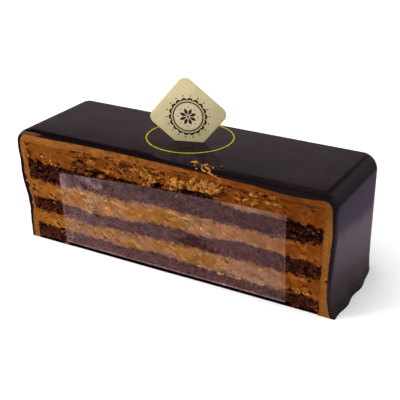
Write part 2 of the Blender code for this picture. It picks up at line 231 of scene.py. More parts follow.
floor_finish, tree, shader = new_material("pale_floor", Roughness=0.9, Specular_IOR_Level=0.1)
place = add_node(tree, "ShaderNodeTexCoord").outputs["Object"]
x_y_z = add_node(tree, "ShaderNodeSeparateXYZ", {0: place}).outputs
end_at_middle = HALF_LENGTH - FLOOR_MIRROR_SKEW * FLOOR_MIRROR_PIVOT
slanted_end = calculate(tree, "MULTIPLY_ADD", x_y_z[1], FLOOR_MIRROR_SKEW, end_at_middle)
beside = calculate(tree, "SUBTRACT", calculate(tree, "ABSOLUTE", x_y_z[0]), slanted_end)
in_front = calculate(tree, "MULTIPLY_ADD", x_y_z[1], -1.0, -HALF_DEPTH)
reach = calculate(tree, "MAXIMUM", beside, in_front)
reach = calculate(tree, "DIVIDE", reach, FLOOR_MIRROR_REACH, clamp=True)
mirrored = colour_ramp(tree, reach, FLOOR_MIRROR_STOPS)
at_left = fade(tree, x_y_z[0], *FLOOR_AT_LEFT)
mirrored = blend_colours(tree, at_left, mirrored, FLOOR_AT_LEFT_COLOUR)
ray = add_node(tree, "ShaderNodeLightPath").outputs
shown = blend_colours(tree, ray["Is Diffuse Ray"], (FLOOR_GREY,) * 3, (FLOOR_BOUNCE,) * 3)
shown = blend_colours(tree, ray["Is Glossy Ray"], shown, mirrored)
tree.links.new(shown, shader.inputs["Base Color"])
floor_mesh.materials.append(floor_finish)
print("floor:", FLOOR_SIZE, "m square")

# %% World
# Brightness of the walls, from the left (0) to the right (1).
WALL_STOPS = (
    (0.0, 0.31), (0.22, 0.31), (0.28, 0.335), (0.335, 0.30), (0.40, 0.17), (0.50, 0.08), (1.0, 0.10)
)
# And what is left of it with the height above a slanted line.
WALL_SLANT = 0.212
CEILING_STOPS = (
    (0.0, 0.05), (0.22, 0.06), (0.30, 1.0), (0.44, 1.0),
    (0.475, 0.68), (0.49, 0.28), (0.505, 0.05), (1.0, 0.02),
)
WALL_TINT = (1.0, 0.80, 0.85)
# Each glow: its colour, where it fades in from the left, and where it fades over the height.
GLOWS = (
    ((0.20, 0.17, 0.20), (-0.24, 0.15), (0.50, 0.85, 1.0, 0.0)),
    ((0.085, 0.070, 0.082), (-0.58, -0.34), (0.49, 0.58)),
)
SOFT_LIGHT = (0.97, 0.97, 1.0)
SOFT_LIGHT_STRENGTH = 0.32

world = bpy.data.worlds.new("studio")
bpy.context.scene.world = world
world.use_nodes = True
tree = world.node_tree
sky = tree.nodes["Background"]
direction = add_node(tree, "ShaderNodeTexCoord").outputs["Generated"]
x_y_z = add_node(tree, "ShaderNodeSeparateXYZ", {0: direction}).outputs
sideways = calculate(tree, "MULTIPLY_ADD", x_y_z[0], 0.5, 0.5)
walls = colour_ramp(tree, sideways, WALL_STOPS)
slanted = calculate(tree, "MULTIPLY_ADD", x_y_z[0], -WALL_SLANT, x_y_z[2])
room = blend_colours(tree, 1.0, walls, colour_ramp(tree, slanted, CEILING_STOPS), "MULTIPLY")
room = blend_colours(tree, 1.0, room, WALL_TINT, "MULTIPLY")
for glow, from_left, over_height in GLOWS:
    share = fade(tree, x_y_z[0], *from_left)
    share = calculate(tree, "MULTIPLY", share, fade(tree, slanted, *over_height))
    room = blend_colours(tree, share, room, glow, "ADD")
plain = tuple(SOFT_LIGHT_STRENGTH * part for part in SOFT_LIGHT)
ray = add_node(tree, "ShaderNodeLightPath").outputs
tree.links.new(blend_colours(tree, ray["Is Glossy Ray"], plain, room), sky.inputs["Color"])
sky.inputs["Strength"].default_value = 1.0
print("world:", world.name, "with", len(tree.nodes), "nodes")

# %% Lamps
KEY_PLACE = Vector((-0.30, -0.27, 0.20))
KEY_SIZE = 0.20
KEY_POWER = 1.9
KEY_COLOUR = (1.0, 0.98, 0.95)
TOP_PLACE = Vector((0.0, -0.10, 1.5))
TOP_SIZE = 1.6
TOP_POWER = 26.0
TOP_COLOUR = (0.98, 0.99, 1.0)


def add_lamp(name, place, size, power, colour):
    """A square lamp that looks at the slice and that mirrors don't see."""
    data = bpy.data.lights.new(name, "AREA")
    data.size = size
    data.energy = power
    data.color = colour
    lamp = bpy.data.objects.new(name, data)
    lamp.location = place
    lamp.rotation_mode = "QUATERNION"
    lamp.rotation_quaternion = (CAMERA_TARGET - place).to_track_quat("-Z", "Y")
    lamp.visible_glossy = False
    bpy.context.scene.collection.objects.link(lamp)
    return lamp


add_lamp("key_lamp", KEY_PLACE, KEY_SIZE, KEY_POWER, KEY_COLOUR)
add_lamp("top_lamp", TOP_PLACE, TOP_SIZE, TOP_POWER, TOP_COLOUR)
bpy.context.scene.view_settings.view_transform = "Standard"
print("lamps: key and top")

# %% [markdown]
# ## Shared effects, as node groups
#
# Three effects come back in several finishes. *Knife streaks* are the long smears that a blade
# drags through cream and crumb, a little tilted. *Air holes* are round pits of a chosen size.
# *Soft unevenness* is the slow change that no poured or spread surface is without.
# Each is a group with named sockets, built once and given its own values in each material.
#
# What belongs to one place, such as how much painted shade or painted highlight a spot of crumb
# gets, is no pattern. The mesh holds it as a number at each point, and a material reads that, so
# colour and shape agree.

# %% Build the node groups
KNIFE_TILT = math.radians(-18.0)
PIT_FLOOR_SHARE = 0.45


def new_group(name, inputs, outputs):
    """An empty group with float sockets, its input node and its output node."""
    group = bpy.data.node_groups.new(name, "ShaderNodeTree")
    for socket, value in inputs.items():
        made = group.interface.new_socket(socket, in_out="INPUT", socket_type="NodeSocketFloat")
        made.default_value = value
    for socket in outputs:
        group.interface.new_socket(socket, in_out="OUTPUT", socket_type="NodeSocketFloat")
    return group, group.nodes.new("NodeGroupInput").outputs, group.nodes.new("NodeGroupOutput")


def object_place(tree, turn=0.0):
    """Object coordinates, turned about Y by this angle."""
    place = add_node(tree, "ShaderNodeTexCoord").outputs["Object"]
    turned = add_node(
        tree, "ShaderNodeVectorRotate", {"Vector": place, "Angle": turn}, rotation_type="Y_AXIS"
    )
    return turned.outputs[0]


def make_knife_streaks():
    """Noise drawn out along the knife's stroke."""
    defaults = {"Size": 1.0 * MM, "Stretch": 3.0, "Softness": 0.2, "Pattern": 0.0}
    group, given, out = new_group("knife_streaks", defaults, ["Mask"])
    parts = add_node(group, "ShaderNodeSeparateXYZ", {0: object_place(group, KNIFE_TILT)}).outputs
    long_size = calculate(group, "MULTIPLY", given["Size"], given["Stretch"])
    stretched = add_node(group, "ShaderNodeCombineXYZ", {
        0: calculate(group, "DIVIDE", parts[0], long_size),
        1: calculate(group, "ADD", calculate(group, "DIVIDE", parts[1], long_size), given["Pattern"]),
        2: calculate(group, "DIVIDE", parts[2], given["Size"]),
    })
    texture = add_node(
        group, "ShaderNodeTexNoise",
        {"Vector": stretched.outputs[0], "Scale": 1.0, "Detail": 4.0, "Roughness": 0.6},
    )
    low = calculate(group, "SUBTRACT", 0.5, given["Softness"])
    high = calculate(group, "ADD", 0.5, given["Softness"])
    group.links.new(fade(group, texture.outputs[0], low, high), out.inputs["Mask"])
    return group


def make_air_holes():
    """A round pit in a share of the cells that fill space."""
    defaults = {"Size": 1.0 * MM, "Share": 0.4, "Radius": 0.3}
    group, given, out = new_group("air_holes", defaults, ["Mask"])
    scale = calculate(group, "DIVIDE", 1.0, given["Size"])
    cells = add_node(
        group, "ShaderNodeTexVoronoi", {"Vector": object_place(group), "Scale": scale}
    ).outputs
    chance = add_node(group, "ShaderNodeSeparateColor", {0: cells["Color"]}).outputs[0]
    kept = calculate(group, "LESS_THAN", chance, given["Share"])
    inner = calculate(group, "MULTIPLY", given["Radius"], PIT_FLOOR_SHARE)
    pit = fade(group, cells["Distance"], inner, given["Radius"], 1.0, 0.0)
    group.links.new(calculate(group, "MULTIPLY", kept, pit), out.inputs["Mask"])
    return group


def make_soft_unevenness():
    """Slow, cloudy noise."""
    group, given, out = new_group("soft_unevenness", {"Size": 10.0 * MM, "Detail": 2.0}, ["Mask"])
    texture = add_node(group, "ShaderNodeTexNoise", {
        "Vector": object_place(group), "Scale": calculate(group, "DIVIDE", 1.0, given["Size"]),
        "Detail": given["Detail"], "Roughness": 0.5,
    })
    group.links.new(fade(group, texture.outputs[0], 0.3, 0.7), out.inputs["Mask"])
    return group


KNIFE_STREAKS = make_knife_streaks()
AIR_HOLES = make_air_holes()
SOFT_UNEVENNESS = make_soft_unevenness()
print("groups:", KNIFE_STREAKS.name, AIR_HOLES.name, SOFT_UNEVENNESS.name)

# %% Using groups and painted numbers
def use_group(tree, group, **values):
    """Places a group in a material with these values, and gives its mask."""
    placed = add_node(tree, "ShaderNodeGroup", node_tree=group)
    for key, value in values.items():
        placed.inputs[key].default_value = value
    return placed.outputs["Mask"]


def read_attribute(tree, name):
    """A number that the mesh holds at each point."""
    return add_node(tree, "ShaderNodeAttribute", attribute_name=name).outputs["Fac"]


def add_bump(tree, shader, height, distance):
    """Tilts the shading by a height; the distance is how far height 1 stands out."""
    values = {"Height": height, "Distance": distance, "Strength": 1.0}
    bump = add_node(tree, "ShaderNodeBump", values)
    tree.links.new(bump.outputs[0], shader.inputs["Normal"])


print("masks, attributes and bumps can be placed")

# %% [markdown]
# ## The finishes
#
# Mirror glaze is nearly black and very smooth, with faint waves where it ran and a little dust.
# Cream is smeared in lighter and darker streaks, with pinholes and dragged crumbs. Sponge is
# dark, open and dry. One function makes all the creams, because coat, filling and crumbs are
# the same stuff with other values; a separate material for each would repeat the same nodes.

# %% Mirror glaze
GLAZE_COLOUR = (0.0034, 0.0015, 0.0015)
GLAZE_THIN_COLOUR = (0.0054, 0.0022, 0.0021)
DUST_COLOUR = (0.03, 0.02, 0.018)
SMEAR_COLOUR = (0.10, 0.042, 0.020)
GLAZE_ROUGHNESS = (0.07, 0.13)
DUST_ROUGHNESS = 0.4
SMEAR_ROUGHNESS = 0.6
RIPPLE_SHARE = 0.035
GLAZE_BUMP = 0.05 * MM

glaze_finish, tree, shader = new_material("mirror_glaze", Specular_IOR_Level=0.42)
waves = use_group(tree, SOFT_UNEVENNESS, Size=26.0 * MM, Detail=1.0)
ripples = use_group(tree, SOFT_UNEVENNESS, Size=3.5 * MM, Detail=2.0)
dust = use_group(tree, AIR_HOLES, Size=2.4 * MM, Share=0.22, Radius=0.045)
smeared = read_attribute(tree, "smeared")
colour = blend_colours(tree, waves, GLAZE_COLOUR, GLAZE_THIN_COLOUR)
colour = lay_over(tree, colour, dust, 0.5, DUST_COLOUR)
colour = blend_colours(tree, smeared, colour, SMEAR_COLOUR)
tree.links.new(colour, shader.inputs["Base Color"])
rough = fade(tree, ripples, 0.0, 1.0, *GLAZE_ROUGHNESS)
rough = calculate(tree, "MAXIMUM", rough, calculate(tree, "MULTIPLY", smeared, SMEAR_ROUGHNESS))
rough = calculate(tree, "MAXIMUM", rough, calculate(tree, "MULTIPLY", dust, DUST_ROUGHNESS))
tree.links.new(rough, shader.inputs["Roughness"])
add_bump(tree, shader, calculate(tree, "MULTIPLY_ADD", ripples, RIPPLE_SHARE, waves), GLAZE_BUMP)
print("finish:", glaze_finish.name)

# %% Creams
CRUMB_DARK = (0.018, 0.0038, 0.0022)
CRUMB_MIDDLE = (0.060, 0.0132, 0.0064)
DRAGGED_CRUMB = (0.022, 0.006, 0.003)
# Laid on as painted shade in cracks, hollows, grooves and under the coat's edge, and on flakes that are
# darker at random.
CREAM_SHADE_AND_DARK_TONE = (0.012, 0.0035, 0.0015)
# Painted shade: the cream is tinted darker and redder towards the right and in the top cream.
RIGHT_AND_TOP_SHADE_TINT = (0.93, 0.70, 0.42)
PINHOLE_SHADE = 0.5
CREAM_ROUGHNESS = (0.60, 0.40)
CREAM_BUMP = 0.08 * MM
# The top cream starts between these heights, and the coat's border between these places.
TOP_CREAM_STARTS = (30.0 * MM, 33.0 * MM)
BORDER_STARTS = (58.4 * MM, 59.4 * MM)
# Each cream's colours: dark, middle and light streaks, and pale, laid on as a painted highlight
# where a flake catches the light.
COAT_COLOURS = (
    (0.155, 0.0445, 0.0050), (0.225, 0.074, 0.0102), (0.300, 0.113, 0.023), (0.42, 0.180, 0.038)
)
CREAM_COLOURS = (
    (0.142, 0.037, 0.0028), (0.218, 0.067, 0.0054), (0.312, 0.114, 0.014), (0.54, 0.250, 0.062)
)
LUMP_COLOURS = (
    (0.20, 0.062, 0.0055), (0.33, 0.120, 0.014), (0.47, 0.200, 0.030), (0.74, 0.400, 0.105)
)


def make_cream(name, colours, pattern, painted_shade_span, streak_size=0.9 * MM):
    """A cream smeared by the knife. Crumb shows in it where the mesh says so.

    painted_shade_span is where along x the cream's painted shade starts, where it is full, and
    how much of it the top cream gets.
    """
    dark, middle, light, pale = colours
    finish, tree, shader = new_material(name, Specular_IOR_Level=0.07)
    broad = use_group(
        tree, KNIFE_STREAKS, Size=2.8 * MM, Stretch=1.8, Softness=0.22, Pattern=pattern
    )
    fine = use_group(
        tree, KNIFE_STREAKS, Size=streak_size, Stretch=1.7, Softness=0.15, Pattern=pattern + 4.0
    )
    pinholes = use_group(tree, AIR_HOLES, Size=1.1 * MM, Share=0.16, Radius=0.19)
    dragged = use_group(tree, AIR_HOLES, Size=2.9 * MM, Share=0.14, Radius=0.10)
    colour = blend_colours(tree, broad, dark, middle)
    colour = lay_over(tree, colour, fine, 0.50, light)
    colour = lay_over(tree, colour, pinholes, 0.5, tuple(PINHOLE_SHADE * part for part in dark))
    colour = lay_over(tree, colour, dragged, 0.7, DRAGGED_CRUMB)

    place = add_node(tree, "ShaderNodeTexCoord").outputs["Object"]
    x_y_z = add_node(tree, "ShaderNodeSeparateXYZ", {0: place}).outputs
    start, end, top_share = painted_shade_span
    in_top = calculate(tree, "MULTIPLY", fade(tree, x_y_z[2], *TOP_CREAM_STARTS), top_share)
    share = calculate(tree, "MAXIMUM", fade(tree, x_y_z[0], start, end), in_top)
    inside = fade(tree, x_y_z[0], *BORDER_STARTS, 1.0, 0.0)
    share = calculate(tree, "MULTIPLY", share, inside)
    colour = blend_colours(tree, share, colour, RIGHT_AND_TOP_SHADE_TINT, "MULTIPLY")

    crumb = blend_colours(tree, fine, CRUMB_DARK, CRUMB_MIDDLE)
    colour = blend_colours(tree, read_attribute(tree, "crumb"), colour, crumb)
    # The mesh's number paints shade where it is above 0 and highlights where it is below 0, with some
    # random flake tone.
    painted_light_and_tone = read_attribute(tree, "painted_light_and_tone")
    colour = lay_over(tree, colour, painted_light_and_tone, -1.0, pale)
    colour = lay_over(tree, colour, painted_light_and_tone, 1.0, CREAM_SHADE_AND_DARK_TONE)
    tree.links.new(colour, shader.inputs["Base Color"])
    tree.links.new(fade(tree, fine, 0.0, 1.0, *CREAM_ROUGHNESS), shader.inputs["Roughness"])
    height = calculate(tree, "MULTIPLY_ADD", pinholes, -1.4, fine)
    add_bump(tree, shader, height, CREAM_BUMP)
    return finish


coat_finish = make_cream("caramel_coat", COAT_COLOURS, 0.0, (-30.0 * MM, 20.0 * MM, 0.0))
cream_finish = make_cream("chocolate_cream", CREAM_COLOURS, 9.0, (0.0, 46.0 * MM, 0.85))
lump_finish = make_cream("torn_cream", LUMP_COLOURS, 17.0, (0.0, 46.0 * MM, 0.45), 0.5 * MM)
print("finishes:", coat_finish.name, cream_finish.name, lump_finish.name)

# %% Sponge
CRUMB_LIGHT = (0.125, 0.032, 0.014)
LOOSE_CRUMB = (0.19, 0.057, 0.022)
# Pores are real holes in the crumb; their near-black colour is painted shade inside them.
PORE_SHADE = (0.006, 0.0018, 0.0012)
SMEARED_CREAM = ((0.120, 0.030, 0.0025), (0.300, 0.105, 0.014))
# SPONGE_LIT is a painted highlight where crumbs catch the light, and paler towards the foot; the darker
# colour is painted shade in gaps and hollows, and flakes darker at random.
SPONGE_LIT = (0.20, 0.072, 0.028)
SPONGE_SHADE_AND_DARK_TONE = (0.004, 0.0013, 0.001)
SPONGE_ROUGHNESS = (0.9, 0.72)
SPONGE_BUMP = 0.12 * MM

sponge_finish, tree, shader = new_material("chocolate_sponge", Specular_IOR_Level=0.05)
broad = use_group(tree, KNIFE_STREAKS, Size=1.5 * MM, Stretch=2.0, Softness=0.16, Pattern=2.0)
fine = use_group(tree, KNIFE_STREAKS, Size=0.9 * MM, Stretch=1.5, Softness=0.12, Pattern=6.0)
pores = use_group(tree, AIR_HOLES, Size=1.7 * MM, Share=0.5, Radius=0.34)
crumbs = use_group(tree, AIR_HOLES, Size=1.4 * MM, Share=0.16, Radius=0.24)
colour = blend_colours(tree, broad, CRUMB_DARK, CRUMB_MIDDLE)
colour = lay_over(tree, colour, fine, 0.7, CRUMB_LIGHT)
colour = lay_over(tree, colour, crumbs, 0.75, LOOSE_CRUMB)
colour = lay_over(tree, colour, pores, 0.85, PORE_SHADE)
smear = blend_colours(tree, fine, *SMEARED_CREAM)
colour = blend_colours(tree, read_attribute(tree, "crumb"), smear, colour)
# The mesh's number paints shade where it is above 0, in gaps, hollows and the gap at the foot, and
# highlights below 0.
painted_light_and_tone = read_attribute(tree, "painted_light_and_tone")
colour = lay_over(tree, colour, painted_light_and_tone, -1.0, SPONGE_LIT)
colour = lay_over(tree, colour, painted_light_and_tone, 1.0, SPONGE_SHADE_AND_DARK_TONE)
tree.links.new(colour, shader.inputs["Base Color"])
tree.links.new(fade(tree, broad, 0.0, 1.0, *SPONGE_ROUGHNESS), shader.inputs["Roughness"])
add_bump(tree, shader, calculate(tree, "MULTIPLY_ADD", pores, -1.5, fine), SPONGE_BUMP)
print("finish:", sponge_finish.name)

# %% Clear film
VEIL_OVER_CREAM = ((0.58, 0.34, 0.22), (0.70, 0.44, 0.30))
VEIL_OVER_CRUMB = ((0.54, 0.305, 0.345), (0.62, 0.37, 0.41))
VEIL_WHERE_WET = (0.66, 0.31, 0.07)
FILM_ROUGHNESS = (0.22, 0.34)

film_finish, tree, shader = new_material("clear_film", Specular_IOR_Level=0.5)
wipe = use_group(tree, KNIFE_STREAKS, Size=2.2 * MM, Stretch=3.0, Softness=0.25, Pattern=13.0)
patchy = use_group(tree, SOFT_UNEVENNESS, Size=1.3 * MM, Detail=3.0)
mottled = fade(tree, wipe, 0.0, 1.0, 0.68, 1.28)
mottled = calculate(tree, "MULTIPLY", mottled, fade(tree, patchy, 0.0, 1.0, 0.80, 1.20))
veil = calculate(tree, "MULTIPLY", read_attribute(tree, "haze"), mottled, clamp=True)
tree.links.new(veil, shader.inputs["Alpha"])
over_cream = blend_colours(tree, patchy, *VEIL_OVER_CREAM)
over_crumb = blend_colours(tree, patchy, *VEIL_OVER_CRUMB)
colour = blend_colours(tree, read_attribute(tree, "crumb"), over_cream, over_crumb)
colour = blend_colours(tree, read_attribute(tree, "wet"), colour, VEIL_WHERE_WET)
tree.links.new(colour, shader.inputs["Base Color"])
tree.links.new(fade(tree, patchy, 0.0, 1.0, *FILM_ROUGHNESS), shader.inputs["Roughness"])
print("finish:", film_finish.name)

# %% Card, print and gold
# Seen in the glaze, the card's reflection is painted dimmer than the card: how much, and towards
# what.
MIRROR_DIMMING = 0.80
MIRRORED_CARD = (0.17, 0.13, 0.17)
FIBRE_SHADE = 0.86
FIBRE_BUMP = 0.006 * MM
CARD_COLOURS = ((0.63, 0.535, 0.29), (0.71, 0.61, 0.35))
FIELD_COLOURS = ((0.72, 0.585, 0.375), (0.78, 0.64, 0.43))
INK_COLOURS = ((0.014, 0.009, 0.011), (0.022, 0.014, 0.017))
GOLD_COLOURS = ((0.42, 0.31, 0.014), (0.66, 0.52, 0.03))
GOLD_ROUGHNESS = (0.42, 0.26)


def make_card(name, colours, roughness):
    """Card with a fine pressed grain, clouded between two colours, and painted dimmer in reflections.
    """
    finish, tree, shader = new_material(name, Specular_IOR_Level=0.5)
    cloud = use_group(tree, SOFT_UNEVENNESS, Size=4.0 * MM, Detail=3.0)
    fibre = use_group(
        tree, KNIFE_STREAKS, Size=0.25 * MM, Stretch=2.0, Softness=0.2, Pattern=21.0
    )
    colour = blend_colours(tree, cloud, *colours)
    shaded = tuple(FIBRE_SHADE * part for part in colours[0])
    colour = lay_over(tree, colour, fibre, 0.25, shaded)
    ray = add_node(tree, "ShaderNodeLightPath").outputs
    colour = lay_over(tree, colour, ray["Is Glossy Ray"], MIRROR_DIMMING, MIRRORED_CARD)
    tree.links.new(colour, shader.inputs["Base Color"])
    rough = fade(tree, cloud, 0.0, 1.0, roughness, roughness + 0.08)
    tree.links.new(rough, shader.inputs["Roughness"])
    add_bump(tree, shader, fibre, FIBRE_BUMP)
    return finish


card_finish = make_card("pale_gold_card", CARD_COLOURS, 0.38)
field_finish = make_card("cream_print", FIELD_COLOURS, 0.42)
ink_finish = make_card("dark_print", INK_COLOURS, 0.36)

gold_finish, tree, shader = new_material("gold_print", Metallic=0.2)
worn = use_group(tree, SOFT_UNEVENNESS, Size=1.1 * MM, Detail=3.0)
tree.links.new(blend_colours(tree, worn, *GOLD_COLOURS), shader.inputs["Base Color"])
tree.links.new(fade(tree, worn, 0.0, 1.0, *GOLD_ROUGHNESS), shader.inputs["Roughness"])
print("finishes:", card_finish.name, field_finish.name, ink_finish.name, gold_finish.name)

# %% [markdown]
# ## The skins of the slice
#
# Glaze, coat and stack are three arches, one inside the other, seen from the end. Each has a
# left side, a right side, a top and two round shoulders. The frame's solids come from the same
# few numbers, so an arch drawn from them again, only finer, lies exactly on the solid. Drawing
# it finer matters: a mirror glaze shows every facet of a coarse mesh.

# %% Sizes of the slice
LEFT_END = -64.4 * MM
RIGHT_END = 62.0 * MM
CUT_FACE = -20.9 * MM
BACK_FACE = 22.2 * MM
HEIGHT = 43.15 * MM
COAT_RIGHT = 60.5 * MM
STACK_LEFT = -56.9 * MM
STACK_LEFT_LEAN = 0.1
STACK_RIGHT = 58.3 * MM
# Heights in mm, evenly spaced from the left end to the right one.
COAT_TOP = (41.6, 41.7, 42.1, 42.2, 41.9, 41.6, 41.2, 40.4, 41.3)
STACK_TOP = (39.0, 38.8, 38.8, 39.2, 39.5, 39.5, 39.2, 38.9, 38.8)
print("slice:", round((RIGHT_END - LEFT_END) / MM, 1), "mm long and", HEIGHT / MM, "mm high")

# %% Smooth steps and lines
def eased(t):
    """0 to 1 along a smooth step."""
    t = min(max(t, 0.0), 1.0)
    return t * t * (3.0 - 2.0 * t)


def past(value, start, reach):
    """0 up to the start, 1 from this reach past it, and smooth between."""
    return eased((value - start) / reach)


def before(value, end, reach):
    """1 up to this reach before the end, 0 from the end on, and smooth between."""
    return eased((end - value) / reach)


def mix(first, second, share):
    """The first at share 0, the second at share 1."""
    return first + (second - first) * share


def hump(z, centre, spread):
    """A bell curve, 1 at its centre."""
    return math.exp(-(((z - centre) / spread) ** 2))


def along(heights, x):
    """Height at x of a line whose heights, in mm, are spaced evenly from end to end."""
    place = (x - LEFT_END) / (RIGHT_END - LEFT_END) * (len(heights) - 1)
    first = min(max(int(place), 0), len(heights) - 2)
    rise = heights[first + 1] - heights[first]
    return (heights[first] + rise * eased(place - first)) * MM


print("the coat's top at the middle:", round(along(COAT_TOP, 0.0) / MM, 2), "mm")

# %% The sides of each skin
# The glaze's left end moves in towards its foot: by how much, below which height, within what.
LEFT_SWELL = (0.7 * MM, 36.0 * MM, 6.0 * MM)
LEFT_STEP = (2.6 * MM, 27.0 * MM, 15.0 * MM)
LEFT_BUMPS = (0.22 * MM, 34.0 * MM, 5.0 * MM)
LEFT_BUMP_SIZE = 2.6 * MM
LEFT_LEAN = 0.2 * MM
LEFT_LEAN_HEIGHT = 10.0 * MM
# The coat's left side is torn, and its right side swells, round these heights and this far.
GLAZE_AT_LEFT = 1.45 * MM
COAT_TEAR_SIZE = 1.7 * MM
COAT_TEAR_AT = (20.0 * MM, 12.0 * MM)
COAT_SWELL = 0.6 * MM
COAT_SWELL_AT = (29.0 * MM, 7.0 * MM)
# The glaze ran out at the foot of the right end, in waves and less towards the back.
FOOT_FLARE = 2.16 * MM
FOOT_FLARE_WAVE = 0.36 * MM
FOOT_WAVE_LENGTH = 13.5 * MM
FOOT_WAVE_START = -10.5 * MM
FOOT_FLARE_DEPTH = 16.0 * MM


def moved_in(z, by, below, within):
    """How far a side has moved in at this height."""
    return by * before(z, below, within)


def glaze_left(z):
    """Where the glaze's left side is at this height."""
    lean = LEFT_LEAN * (1.0 - min(z / LEFT_LEAN_HEIGHT, 1.0))
    bumps = moved_in(z, *LEFT_BUMPS) * noise.noise(Vector((z / LEFT_BUMP_SIZE, 0.0, 5.0)))
    return LEFT_END + moved_in(z, *LEFT_SWELL) + moved_in(z, *LEFT_STEP) + lean + bumps


def coat_left(z):
    """Where the coat's left side is: under the glaze, and torn in the middle."""
    torn = 0.80 + 1.25 * noise.noise(Vector((z / COAT_TEAR_SIZE, 0.0, 8.0)))
    return glaze_left(z) + GLAZE_AT_LEFT + torn * MM * hump(z, *COAT_TEAR_AT)


def coat_right(z):
    """Where the coat's right side is."""
    return COAT_RIGHT + COAT_SWELL * hump(z, *COAT_SWELL_AT)


def stack_left(z):
    """Where the layers start at the left."""
    return STACK_LEFT - STACK_LEFT_LEAN * z


def foot_flare(y):
    """How far the glaze ran out over the floor at its right end, at this depth."""
    wave = math.cos(math.tau * (y - FOOT_WAVE_START) / FOOT_WAVE_LENGTH)
    return (FOOT_FLARE + FOOT_FLARE_WAVE * wave) * before(y, BACK_FACE, FOOT_FLARE_DEPTH)


# Each skin: its left side, its right side, its top, and the radius of its two shoulders.
GLAZE_SKIN = (glaze_left, lambda z: RIGHT_END, lambda x: HEIGHT, 4.8 * MM, 5.0 * MM)
COAT_SKIN = (coat_left, coat_right, lambda x: along(COAT_TOP, x), 3.6 * MM, 2.6 * MM)
STACK_SKIN = (
    stack_left, lambda z: STACK_RIGHT, lambda x: along(STACK_TOP, x), 0.3 * MM, 0.3 * MM
)

print("the foot runs out by", round(foot_flare(CUT_FACE) / MM, 2), "mm at the cut")

# %% Arches
# How the foot rises from the floor: two bell curves, each a share and a height.
FOOT_RISE = ((0.7, 5.0 * MM), (0.3, 1.0 * MM))
FOOT_CROWDING = 1.2


def arch(skin, inset, steps, flare=0.0):
    """Points (x, z) round a skin, from the left foot over the top to the right foot.

    inset is how far it is drawn in at the left, the top and the right; steps is how many
    there are up a side, round a shoulder and along the top; flare is how far the right foot
    runs out.
    """
    left, right, top, left_shoulder, right_shoulder = skin
    in_left, in_top, in_right = inset
    side_steps, shoulder_steps, top_steps = steps
    left_x = left(HEIGHT) + in_left
    right_x = right(HEIGHT) - in_right
    left_top = top(left_x + left_shoulder) - in_top
    right_top = top(right_x - right_shoulder) - in_top
    heights = [(step / side_steps) ** FOOT_CROWDING for step in range(side_steps)]
    turns = [math.pi / 2 * step / shoulder_steps for step in range(shoulder_steps + 1)]
    points = [(left(z) + in_left, z) for z in (t * (left_top - left_shoulder) for t in heights)]
    for turn in turns:
        x = left_x + left_shoulder * (1.0 - math.cos(turn))
        points.append((x, left_top - left_shoulder * (1.0 - math.sin(turn))))
    for step in range(1, top_steps):
        x = mix(left_x + left_shoulder, right_x - right_shoulder, step / top_steps)
        points.append((x, top(x) - in_top))
    for turn in turns:
        x = right_x - right_shoulder * (1.0 - math.sin(turn))
        points.append((x, right_top - right_shoulder * (1.0 - math.cos(turn))))
    for t in reversed(heights):
        z = t * (right_top - right_shoulder)
        spread = sum(share * hump(z, 0.0, height) for share, height in FOOT_RISE)
        points.append((right(z) - in_right + flare * spread, z))
    return points


def rounding(distance, width, depth):
    """How far a rounded edge has drawn in at this distance from the face it turns into."""
    if distance >= width:
        return 0.0
    t = 1.0 - distance / width
    return depth * (1.0 - math.sqrt(1.0 - t * t))


print("arch points at 6 steps a side:", len(arch(GLAZE_SKIN, (0.0, 0.0, 0.0), (6, 4, 10))))

# %% [markdown]
# ## The cut face: where it is pushed aside, and how deep it goes
#
# A knife pulls crumb and cream a little out of place, so no seam in a real cut is a clean line.
# Every piece that reaches the cut face asks the same function how far its points are pushed
# aside. That is why two neighbours stay in touch however ragged their seam is.
# Depth comes from a second function: hollows where cream tore off, swells where it piled up,
# both from a short list of oval marks, with broken edges from noise.

